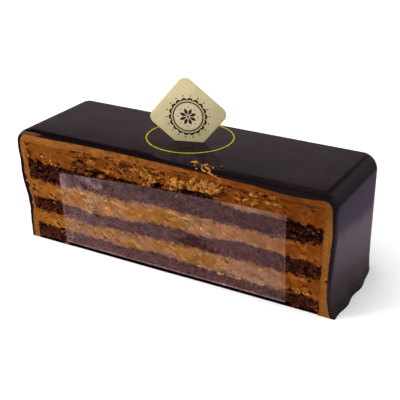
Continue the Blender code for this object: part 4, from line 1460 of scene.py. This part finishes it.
# %% [markdown]
# ## Clods and crumbs
#
# Where the top cream tore, it hangs in small clods, and a few crumbs were dragged over the
# edge onto the glaze. Relief alone can't undercut, so the clods are bodies of their own. A
# rounded ball would look like a pebble; the hull of a few random points has the flat sides and
# sharp edges of something torn. Each is stretched, turned and half sunk, and all of a kind are
# one piece, because hundreds of separate objects would slow every later step.

# %% Making one clod
CLOD_SEED = 7
SHARD_POINTS = 13
SHARD_REACH = (0.75, 1.1)
SHARD_ROUGHNESS = 0.22
SHARD_ROUGH_SIZE = 2.2

random_clods = random.Random(CLOD_SEED)


def add_shard(bm, tone_layer, place, size, stretch, turn, tone):
    """Adds one angular flake: the hull of a few random points, stretched and turned."""
    first = len(bm.verts)
    for _ in range(SHARD_POINTS):
        arm = Vector([random_clods.gauss(0.0, 1.0) for _ in range(3)]).normalized()
        bm.verts.new(arm * random_clods.uniform(*SHARD_REACH))
    bm.verts.ensure_lookup_table()
    hull = bmesh.ops.convex_hull(bm, input=bm.verts[first:])
    inner = [part for part in hull["geom_interior"] if isinstance(part, bmesh.types.BMVert)]
    bmesh.ops.delete(bm, geom=inner, context="VERTS")
    bm.verts.ensure_lookup_table()
    edges = dict.fromkeys(edge for vert in bm.verts[first:] for edge in vert.link_edges)
    bmesh.ops.subdivide_edges(bm, edges=list(edges), cuts=1, use_grid_fill=True)
    bm.verts.ensure_lookup_table()
    made = bm.verts[first:]
    for vert in made:
        rough = noise.noise(vert.co * SHARD_ROUGH_SIZE + place / MM)
        vert.co += vert.co * SHARD_ROUGHNESS * rough
    shaped = Matrix.Diagonal((*stretch, 1.0)) @ Matrix.Scale(size, 4)
    laid = Matrix.Translation(place) @ Matrix.Rotation(turn, 4, "Y") @ shaped
    bmesh.ops.transform(bm, matrix=laid, verts=made)
    forward = max(FRONT_LIMIT - min(vert.co.y for vert in made), 0.0)
    below = max(-min(vert.co.z for vert in made), 0.0)
    bmesh.ops.translate(bm, verts=made, vec=(0.0, forward, below))
    for vert in made:
        vert[tone_layer] = tone


def on_the_cut(x, z, size):
    """A place on the cut face, for a clod that is a little more than half sunk."""
    depth = cream_at_cut(x, z)[0] + stack_recess(x, z)
    return Vector((x, CUT_FACE + depth + 0.15 * size, z))


print("clods are drawn from seed", CLOD_SEED)

# %% Torn clods on the cut face
# Each patch: x, z, half length, half height in mm, how many clods, their mean half size in mm.
CLOD_PATCHES = (
    (-6.4, 35.6, 3.8, 1.3, 16, 0.50), (-6.6, 32.6, 2.6, 0.45, 8, 0.42),
    (4.2, 36.0, 2.6, 1.7, 14, 0.60), (10.2, 36.2, 1.9, 1.2, 12, 0.62),
    (11.8, 38.4, 2.2, 0.55, 10, 0.48), (17.0, 37.0, 3.4, 1.9, 34, 0.66),
    (31.5, 34.9, 4.2, 0.6, 12, 0.42), (33.9, 37.9, 2.5, 0.9, 16, 0.46),
    (40.4, 38.3, 1.7, 0.7, 10, 0.44), (41.0, 35.7, 3.5, 0.6, 13, 0.38),
    (51.2, 6.8, 3.2, 0.7, 12, 0.46), (-26.0, 31.8, 1.1, 0.25, 5, 0.38),
    (60.3, 13.8, 0.5, 0.9, 5, 0.30), (-60.0, 33.4, 1.0, 1.4, 5, 0.34),
    (15.0, 5.9, 3.6, 0.35, 9, 0.29), (21.5, 5.4, 3.6, 0.3, 12, 0.295),
    (27.5, 5.3, 3.0, 0.3, 11, 0.295), (35.5, 5.6, 3.4, 0.4, 8, 0.28),
    (-30.0, 19.6, 8.0, 2.6, 16, 0.25), (-24.0, 8.6, 9.0, 2.2, 16, 0.25),
    (6.0, 20.4, 8.0, 2.0, 8, 0.22), (10.0, 10.0, 9.0, 2.2, 14, 0.25),
    (26.0, 21.6, 8.0, 1.8, 8, 0.22), (-34.0, 35.4, 8.0, 2.4, 16, 0.34),
    (-20.0, 34.4, 6.0, 1.8, 10, 0.34), (-50.0, 33.4, 4.0, 1.4, 8, 0.28),
    (-50.0, 20.0, 4.0, 2.6, 5, 0.22), (-49.0, 8.4, 4.0, 1.6, 5, 0.22),
    (52.0, 29.0, 4.0, 1.6, 2, 0.22),
)
# The smallest are flakes behind the film, painted paler as a highlight where they catch the light.
FLAKE_BELOW = 0.3
FLAKE_LIGHT = 0.62
# Single clods: x, z, half size in mm.
SINGLE_CLODS = (
    (-48.8, 16.5, 0.62), (-46.0, 4.9, 0.55), (-44.9, 5.4, 0.45), (-44.3, 4.0, 0.5),
    (-43.9, 0.6, 0.7), (-43.1, 3.6, 0.42), (-59.5, 36.9, 0.4), (-47.0, 9.9, 0.35),
    (-46.6, 31.9, 0.5), (-45.2, 31.5, 0.35), (56.4, 30.0, 0.28), (55.6, 2.2, 0.4),
    (56.9, 2.7, 0.32), (57.4, 1.5, 0.36), (-11.2, 39.5, 0.3), (-16.6, 39.0, 0.26),
    (-50.8, 33.0, 0.36), (-33.2, 34.0, 0.5), (-32.2, 33.4, 0.42), (-10.0, 39.4, 0.3),
)

clod_bm = bmesh.new()
clod_tone = clod_bm.verts.layers.float.new("painted_light_and_tone")
for patch_x, patch_z, half_length, half_height, count, mean in CLOD_PATCHES:
    for _ in range(count):
        angle = random_clods.uniform(0.0, math.tau)
        reach = math.sqrt(random_clods.random())
        x = (patch_x + half_length * reach * math.cos(angle)) * MM
        z = (patch_z + half_height * reach * math.sin(angle)) * MM
        size = mean * random_clods.uniform(0.55, 1.35) * MM
        stretch = (random_clods.uniform(1.1, 2.0), 0.6, random_clods.uniform(0.45, 0.8))
        turn = random_clods.uniform(-0.4, 1.0)
        tone = random_clods.uniform(-0.46, 0.20) - (FLAKE_LIGHT if mean < FLAKE_BELOW else 0.0)
        add_shard(clod_bm, clod_tone, on_the_cut(x, z, size), size, stretch, turn, tone)
for x, z, size in SINGLE_CLODS:
    size *= MM
    place = on_the_cut(x * MM, z * MM, size)
    place.z = max(place.z, 0.75 * size)
    stretch = (random_clods.uniform(1.0, 1.7), 0.6, random_clods.uniform(0.5, 0.8))
    turn = random_clods.uniform(-0.3, 0.6)
    add_shard(clod_bm, clod_tone, place, size, stretch, turn, -0.2)
bmesh.ops.recalc_face_normals(clod_bm, faces=clod_bm.faces)
finish_piece("torn_clods", clod_bm, lump_finish, None, 28.0)

# %% Crumbs on the top edge
# Each crumb: x, y and z of its middle and its half size in mm, its stretch, and its turn. Those
# without a z are dropped onto the glaze from above.
TOP_CRUMBS = (
    (9.4, -18.2, None, 0.78, (1.25, 0.8, 0.7), -0.2),
    (10.5, -17.9, None, 0.85, (1.3, 0.8, 0.75), 0.3),
    (10.9, -19.4, None, 0.45, (1.1, 0.7, 0.6), 0.1), (12.5, -21.0, 42.9, 0.42, (1.3, 0.7, 0.6), 0.2),
    (14.2, -17.9, None, 0.62, (1.6, 0.6, 0.6), -0.5), (13.6, -18.9, None, 0.5, (1.2, 0.7, 0.7), 0.4),
    (14.6, -20.9, 43.0, 0.66, (0.8, 0.6, 1.3), -0.5), (15.6, -21.1, 42.7, 0.6, (1.6, 0.7, 0.6), 0.4),
    (15.7, -19.7, None, 0.74, (1.7, 0.7, 0.6), 0.5), (16.9, -20.3, None, 0.78, (1.7, 0.7, 0.6), 0.5),
    (17.4, -21.0, 42.8, 0.6, (1.4, 0.7, 0.6), 0.4), (17.6, -21.2, 42.3, 0.6, (1.6, 0.7, 0.6), 0.4),
    (18.7, -21.3, 42.0, 0.62, (1.9, 0.7, 0.55), 0.3), (19.9, -21.2, 41.8, 0.4, (1.3, 0.7, 0.6), 0.1),
    (17.5, -18.8, None, 0.42, (1.1, 0.9, 0.8), 0.0), (15.8, -17.8, None, 0.3, (1.0, 0.8, 0.7), 0.0),
    (19.6, -16.5, None, 0.46, (1.2, 0.9, 0.8), 0.2), (12.2, -18.0, None, 0.2, (1.0, 0.8, 0.7), 0.0),
)

CRUMB_TONE = -0.28
DROP_FROM = 0.1
DOWN = Vector((0.0, 0.0, -1.0))

glaze_tree = BVHTree.FromObject(glaze_shell, bpy.context.evaluated_depsgraph_get())
crumb_bm = bmesh.new()
crumb_tone = crumb_bm.verts.layers.float.new("painted_light_and_tone")
for x, y, z, size, stretch, turn in TOP_CRUMBS:
    x, y, size = x * MM, y * MM, size * MM
    if z is None:
        landing = glaze_tree.ray_cast(Vector((x, y, DROP_FROM)), DOWN)[0]
        centre = Vector((x, y, landing.z + 0.62 * size * stretch[2]))
    else:
        centre = Vector((x, y, z * MM))
    add_shard(crumb_bm, crumb_tone, centre, size, stretch, turn, CRUMB_TONE)
bmesh.ops.recalc_face_normals(crumb_bm, faces=crumb_bm.faces)
finish_piece("top_crumbs", crumb_bm, lump_finish, None, 28.0)

# %% [markdown]
# ## The clear film
#
# A strip of clear film clings to the cut. It hazes what is behind it, except where it is wet
# through and lies close. A bent sheet with a Solidify modifier gives it real thickness, and
# the haze is painted onto the points of the mesh from a short list of ovals, because it
# belongs to places on the film and not to a pattern.

# %% Places on the film
# The film is seen at a slant, so what lies behind a place on it is this far aside.
FILM_SLIP = (-0.45 * MM, -0.40 * MM)
HAZE_ON_CREAM = 0.100
HAZE_ON_CRUMB = 0.046
LEFT_HAZE_ON_CREAM = 1.0
LEFT_HAZE_ON_CRUMB = 1.50
CLEAR_HAZE = 0.012
RIM_HAZE = 0.20
CLOUDED_HAZE = 0.11
GLINT_HAZE = 0.55
FILM_LENGTH = 90.0 * MM
FILM_HEIGHT = 28.0 * MM
# Each oval: x, z, half length, half height, turn, how strongly it is felt.
WET_PLACES = (
    (-0.8, 21.5, 9.8, 3.1, 0, 1.0), (-12.6, 20.9, 4.6, 2.3, 0, 1.0), (-22.4, 21.3, 2.6, 2.0, 0, 0.9),
    (-38.9, 20.4, 3.2, 1.7, -14, 1.0), (-36.4, 22.8, 0.9, 1.4, 0, 0.8), (-33.8, 17.5, 1.0, 0.7, 0, 0.7),
    (-22.2, 10.5, 3.8, 1.2, -8, 0.9), (-15.4, 7.4, 3.0, 1.1, -6, 1.0), (-3.6, 10.2, 3.8, 1.7, -10, 0.9),
    (6.6, 11.7, 7.6, 1.2, 6, 1.0), (9.4, 8.8, 4.4, 2.0, 0, 1.0), (18.0, 9.8, 5.6, 2.2, 0, 0.85),
    (25.0, 11.2, 2.2, 1.1, 0, 0.7), (21.5, 15.9, 1.4, 0.9, 0, 1.0),
    (32.0, 23.2, 3.4, 0.8, -8, 0.6), (-6.2, 5.6, 1.2, 0.8, 20, 0.8),
)
CLEAR_PLACES = (
    (-35.2, 27.2, 5.0, 0.9, -31, 0.72), (-23.6, 28.6, 3.4, 1.3, -8, 0.6),
    (-38.4, 27.0, 2.0, 0.4, -34, 0.35), (12.2, 14.8, 7.4, 1.4, -4, 1.0),
    (11.6, 16.8, 3.4, 1.0, 0, 0.9), (-16.4, 24.6, 1.4, 0.5, -10, 0.7),
    (3.4, 25.8, 3.2, 0.5, -8, 0.8), (-29.0, 16.6, 1.2, 1.8, 30, 0.7), (-19.8, 5.2, 0.9, 0.5, 0, 0.7),
    (-1.0, 2.4, 0.9, 0.7, -20, 0.7),
)
CLOUDED_PLACES = (
    (-43.4, 27.0, 1.6, 3.6, -6, 0.9), (-32.2, 28.9, 5.0, 0.8, -29, 0.9),
    (-27.0, 27.8, 1.0, 1.6, 20, 0.9), (-35.2, 24.9, 3.4, 0.4, -33, 0.8),
    (34.0, 9.0, 9.0, 3.2, 0, 0.65), (-29.0, 22.6, 3.4, 1.5, 24, 0.5),
    (-30.6, 22.4, 3.2, 2.1, 20, 0.8), (-42.0, 26.4, 1.6, 3.2, 0, 0.6),
    (30.0, 32.6, 7.0, 0.9, 0, 0.45), (-41.6, 6.0, 1.4, 1.5, 60, 0.4),
    (26.6, 26.5, 0.5, 2.6, 4, 0.35), (-35.8, 25.6, 1.4, 3.6, 30, 0.25),
    (2.0, 24.6, 3.0, 0.4, 4, 0.5), (-17.4, 21.6, 1.2, 1.0, 0, 0.45),
)
# Glints: small creases in the sheet, each with a painted highlight of extra haze.
GLINTS = (
    (14.7, 21.3, 0.85, 0.20, -62, 1.0), (17.2, 20.1, 1.0, 0.16, -24, 0.8),
    (-40.4, 4.2, 0.7, 0.22, 50, 0.6), (24.0, 2.2, 2.4, 0.2, 0, 0.35),
    (-22.0, 2.1, 1.6, 0.2, 0, 0.35), (4.6, 31.0, 1.2, 0.16, 40, 0.45),
)


def film_haze(x, z, across, up):
    """How much the film hides at this place."""
    share = crumb_at(x + FILM_SLIP[0], z + FILM_SLIP[1])
    haze = mix(HAZE_ON_CREAM, HAZE_ON_CRUMB, share)
    at_left = mix(LEFT_HAZE_ON_CREAM, LEFT_HAZE_ON_CRUMB, share)
    haze *= mix(at_left, 1.0, past(x, -40.0 * MM, 50.0 * MM))
    haze = mix(haze, CLEAR_HAZE, strongest(x, z, CLEAR_PLACES, 51.0))
    haze += CLOUDED_HAZE * strongest(x, z, CLOUDED_PLACES, 53.0)
    haze += GLINT_HAZE * strongest(x, z, GLINTS, 59.0)
    # The film's foot and sides get extra haze as a painted highlight along its edges.
    from_side = min(across, 1.0 - across) * FILM_LENGTH
    foot_line = 1.0 - past(up * FILM_HEIGHT, 0.15 * MM, 0.35 * MM)
    side_line = 0.35 * (1.0 - past(from_side, 0.0, 0.5 * MM))
    return min(haze + RIM_HAZE * max(foot_line, side_line), 1.0)


print("places:", len(WET_PLACES), "wet,", len(CLEAR_PLACES), "clear,", len(CLOUDED_PLACES), "clouded")

# %% Film
# Its corners in mm: foot left and right, head left and right.
FILM_CORNERS = ((-43.5, 1.8), (46.5, 1.8), (-45.0, 29.6), (45.2, 33.7))
FILM_BOW = 0.8 * MM
FILM_THICKNESS = 0.2 * MM
FILM_OFF_FACE = 0.5 * MM
FILM_COLUMNS = 300
FILM_ROWS = 104
FILM_WAVE = 0.12 * MM
FILM_CREASE = 0.16 * MM

film_bm = bmesh.new()
haze_layer = film_bm.verts.layers.float.new("haze")
wet_layer = film_bm.verts.layers.float.new("wet")
crumb_layer = film_bm.verts.layers.float.new("crumb")
bmesh.ops.create_grid(film_bm, x_segments=FILM_COLUMNS, y_segments=FILM_ROWS, size=0.5)
foot_left, foot_right, head_left, head_right = (Vector(corner) * MM for corner in FILM_CORNERS)
for vert in film_bm.verts:
    across, up = vert.co.x + 0.5, vert.co.y + 0.5
    foot = foot_left.lerp(foot_right, across)
    head = head_left.lerp(head_right, across)
    head.y += FILM_BOW * math.sin(math.pi * across)
    x, z = foot.lerp(head, up)
    wave = FILM_WAVE * grain(x, z, 9.0 * MM, 11.0)
    crease = FILM_CREASE * strongest(x, z, GLINTS, 59.0)
    vert.co = (x, CUT_FACE - FILM_OFF_FACE + wave - crease, z)
    vert[haze_layer] = film_haze(x, z, across, up)
    vert[crumb_layer] = crumb_at(x + FILM_SLIP[0], z + FILM_SLIP[1])
    vert[wet_layer] = strongest(x, z, WET_PLACES, 47.0) * (1.0 - vert[crumb_layer])
bmesh.ops.recalc_face_normals(film_bm, faces=film_bm.faces)
film = finish_piece("film_sheet", film_bm, film_finish, "film", 60.0)
thicken = film.modifiers.new("thickness", "SOLIDIFY")
thicken.thickness = FILM_THICKNESS
thicken.offset = 0.0

# %% [markdown]
# ## The card and its ornament
#
# A small rounded square of pale gold card stands on one corner in the top. It could be a cube
# with bevels, but a square whose corners are bevelled flat first keeps even, round corners.
# Its front carries a plain rosette: a cream disc, a ring of leaves and a small flower. Each is
# laid just proud of the card, so that the print keeps its crisp edge from close by.

# %% Card
TAG_SIDE = 21.08 * MM
TAG_CORNER = 3.0 * MM
TAG_THICKNESS = 0.4 * MM
TAG_EDGE = 0.09 * MM
TAG_CENTRE = Vector((-2.2, -0.95, 52.8)) * MM
TAG_TURN = math.radians(18.1)
TAG_ROLL = math.radians(5.4)

card_place = (
    Matrix.Translation(TAG_CENTRE)
    @ Matrix.Rotation(TAG_TURN, 4, "Z")
    @ Matrix.Rotation(math.radians(90.0), 4, "X")
)
on_its_corner = Matrix.Rotation(math.radians(45.0) + TAG_ROLL, 4, "Z")

card_bm = bmesh.new()
bmesh.ops.create_grid(card_bm, x_segments=1, y_segments=1, size=TAG_SIDE / 2)
bmesh.ops.bevel(
    card_bm, geom=card_bm.verts[:], offset=TAG_CORNER, segments=14, profile=0.5,
    affect="VERTICES", material=-1,
)
raised = bmesh.ops.extrude_face_region(card_bm, geom=card_bm.faces[:])["geom"]
raised = [part for part in raised if isinstance(part, bmesh.types.BMVert)]
bmesh.ops.translate(card_bm, verts=raised, vec=(0.0, 0.0, TAG_THICKNESS))
bmesh.ops.translate(card_bm, verts=card_bm.verts, vec=(0.0, 0.0, -TAG_THICKNESS / 2))
bmesh.ops.recalc_face_normals(card_bm, faces=card_bm.faces)
rim = [edge for edge in card_bm.edges if edge.calc_face_angle(0.0) > math.radians(60.0)]
bmesh.ops.bevel(
    card_bm, geom=rim, offset=TAG_EDGE, segments=3, profile=0.5, affect="EDGES", material=-1
)
bmesh.ops.transform(card_bm, matrix=card_place @ on_its_corner, verts=card_bm.verts)
finish_piece("card_tag", card_bm, card_finish, "tag", 30.0)

# %% Rosette
PRINT_THICKNESS = 0.02 * MM
FRONT = TAG_THICKNESS / 2
FIELD_LIFT = 0.005 * MM
INK_LIFT = 0.026 * MM
ROSETTE_DROP = -0.4 * MM
FIELD_RADIUS = 4.75 * MM
FRAME_RADIUS = 5.35 * MM
FRAME_WIDTH = 0.42 * MM
# Pairs of leaves lean towards one another, with a bead outside each pair.
LEAF_PAIRS = 18
LEAF_RADIUS = 6.45 * MM
LEAF_SIZE = (0.88 * MM, 0.40 * MM)
LEAF_LEAN = math.radians(58.0)
LEAF_APART = 0.12
BEAD_RADIUS = 7.7 * MM
BEAD_SIZE = (0.26 * MM, 0.26 * MM)
# The flower: petals round a heart, and a dot between each two.
PETALS = 8
PETAL_RADIUS = 1.95 * MM
PETAL_SIZE = (1.30 * MM, 0.60 * MM)
DOT_RADIUS = 3.65 * MM
DOT_SIZE = (0.22 * MM, 0.22 * MM)
HEART_SIZE = (0.42 * MM, 0.42 * MM)


def flat_shape(bm, segments, half_size, pointed, radius, angle, lean=0.0):
    """A flat oval or leaf laid at a radius and an angle round the rosette's middle."""
    half_length, half_width = half_size
    made = bmesh.ops.create_circle(bm, cap_ends=True, segments=segments, radius=1.0)["verts"]
    for vert in made:
        narrow = (1.0 - abs(vert.co.x)) ** 0.45 if pointed and abs(vert.co.x) < 1.0 else 1.0
        vert.co = (vert.co.x * half_length, vert.co.y * half_width * narrow, 0.0)
    place = (
        Matrix.Rotation(angle, 4, "Z")
        @ Matrix.Translation((radius, 0.0, 0.0))
        @ Matrix.Rotation(lean, 4, "Z")
    )
    bmesh.ops.transform(bm, matrix=place, verts=made)


def raise_print(name, bm, finish, lift):
    """Gives flat shapes the thickness of print and stands them on the card's front."""
    top = bmesh.ops.extrude_face_region(bm, geom=bm.faces[:])["geom"]
    top = [part for part in top if isinstance(part, bmesh.types.BMVert)]
    bmesh.ops.translate(bm, verts=top, vec=(0.0, 0.0, PRINT_THICKNESS))
    bmesh.ops.recalc_face_normals(bm, faces=bm.faces)
    lifted = Matrix.Translation((0.0, ROSETTE_DROP, FRONT + lift))
    bmesh.ops.transform(bm, matrix=card_place @ lifted, verts=bm.verts)
    return finish_piece(name, bm, finish, None, 30.0)


def flat_band(bm, radius, width, steps):
    """A thin flat ring."""
    inner = bmesh.ops.create_circle(bm, segments=steps, radius=radius - width / 2)["verts"]
    outer = bmesh.ops.create_circle(bm, segments=steps, radius=radius + width / 2)["verts"]
    edges = dict.fromkeys(edge for vert in inner + outer for edge in vert.link_edges)
    bmesh.ops.bridge_loops(bm, edges=list(edges))


field_bm = bmesh.new()
flat_shape(field_bm, 64, (FIELD_RADIUS, FIELD_RADIUS), False, 0.0, 0.0)
raise_print("card_field", field_bm, field_finish, FIELD_LIFT)

ink_bm = bmesh.new()
flat_band(ink_bm, FRAME_RADIUS, FRAME_WIDTH, 96)
for index in range(LEAF_PAIRS):
    angle = math.tau * index / LEAF_PAIRS
    flat_shape(ink_bm, 12, LEAF_SIZE, True, LEAF_RADIUS, angle, LEAF_LEAN)
    flat_shape(ink_bm, 12, LEAF_SIZE, True, LEAF_RADIUS, angle + LEAF_APART, -LEAF_LEAN)
    flat_shape(ink_bm, 10, BEAD_SIZE, False, BEAD_RADIUS, angle + LEAF_APART / 2)
for index in range(PETALS):
    angle = math.tau * (index + 0.5) / PETALS
    flat_shape(ink_bm, 16, PETAL_SIZE, True, PETAL_RADIUS, angle)
    flat_shape(ink_bm, 10, DOT_SIZE, False, DOT_RADIUS, angle + math.pi / PETALS)
flat_shape(ink_bm, 20, HEART_SIZE, False, 0.0, 0.0)
raise_print("card_ornament", ink_bm, ink_finish, INK_LIFT)

# %% [markdown]
# ## The gold ring on the top
#
# A hair-thin gold line lies round the card in a circle. A torus would be too round in section
# for something nearly flat, so a small flat section is spun, and noise then makes its line a
# little unsteady, as a printed or laid line is.

# %% Gold ring
RING_CENTRE = Vector((-3.5, 2.75, 0.0)) * MM
RING_RADIUS = 15.8 * MM
RING_WIDTH = 0.46 * MM
RING_THICKNESS = 0.1 * MM
RING_OFF_TOP = 0.05 * MM
RING_STEPS = 240
RING_WANDER = 0.10 * MM
RING_BREADTH = 0.10 * MM
RING_WELD = 0.01 * MM

ring_bm = bmesh.new()
low, high = HEIGHT + RING_OFF_TOP, HEIGHT + RING_OFF_TOP + RING_THICKNESS
section = [
    (RING_RADIUS - RING_WIDTH / 2, low), (RING_RADIUS + RING_WIDTH / 2, low),
    (RING_RADIUS + RING_WIDTH / 2, high), (RING_RADIUS - RING_WIDTH / 2, high),
]
corners = [ring_bm.verts.new(RING_CENTRE + Vector((radius, 0.0, z))) for radius, z in section]
sides = [ring_bm.edges.new((corners[i], corners[(i + 1) % 4])) for i in range(4)]
bmesh.ops.spin(
    ring_bm, geom=corners + sides, cent=RING_CENTRE, axis=(0.0, 0.0, 1.0), angle=math.tau,
    steps=RING_STEPS, use_merge=True,
)
bmesh.ops.remove_doubles(ring_bm, verts=ring_bm.verts, dist=RING_WELD)
for vert in ring_bm.verts:
    arm = Vector((vert.co.x - RING_CENTRE.x, vert.co.y - RING_CENTRE.y, 0.0))
    outward = arm.normalized()
    side = 1.0 if arm.length > RING_RADIUS else -1.0
    wander = RING_WANDER * noise.noise(outward * 6.0 + Vector((0.0, 0.0, 3.0)))
    breadth = RING_BREADTH * noise.noise(outward * 17.0 + Vector((0.0, 0.0, 8.0)))
    vert.co += outward * (wander + side * breadth)
bmesh.ops.recalc_face_normals(ring_bm, faces=ring_bm.faces)
finish_piece("gold_line", ring_bm, gold_finish, "gold_ring", 30.0)
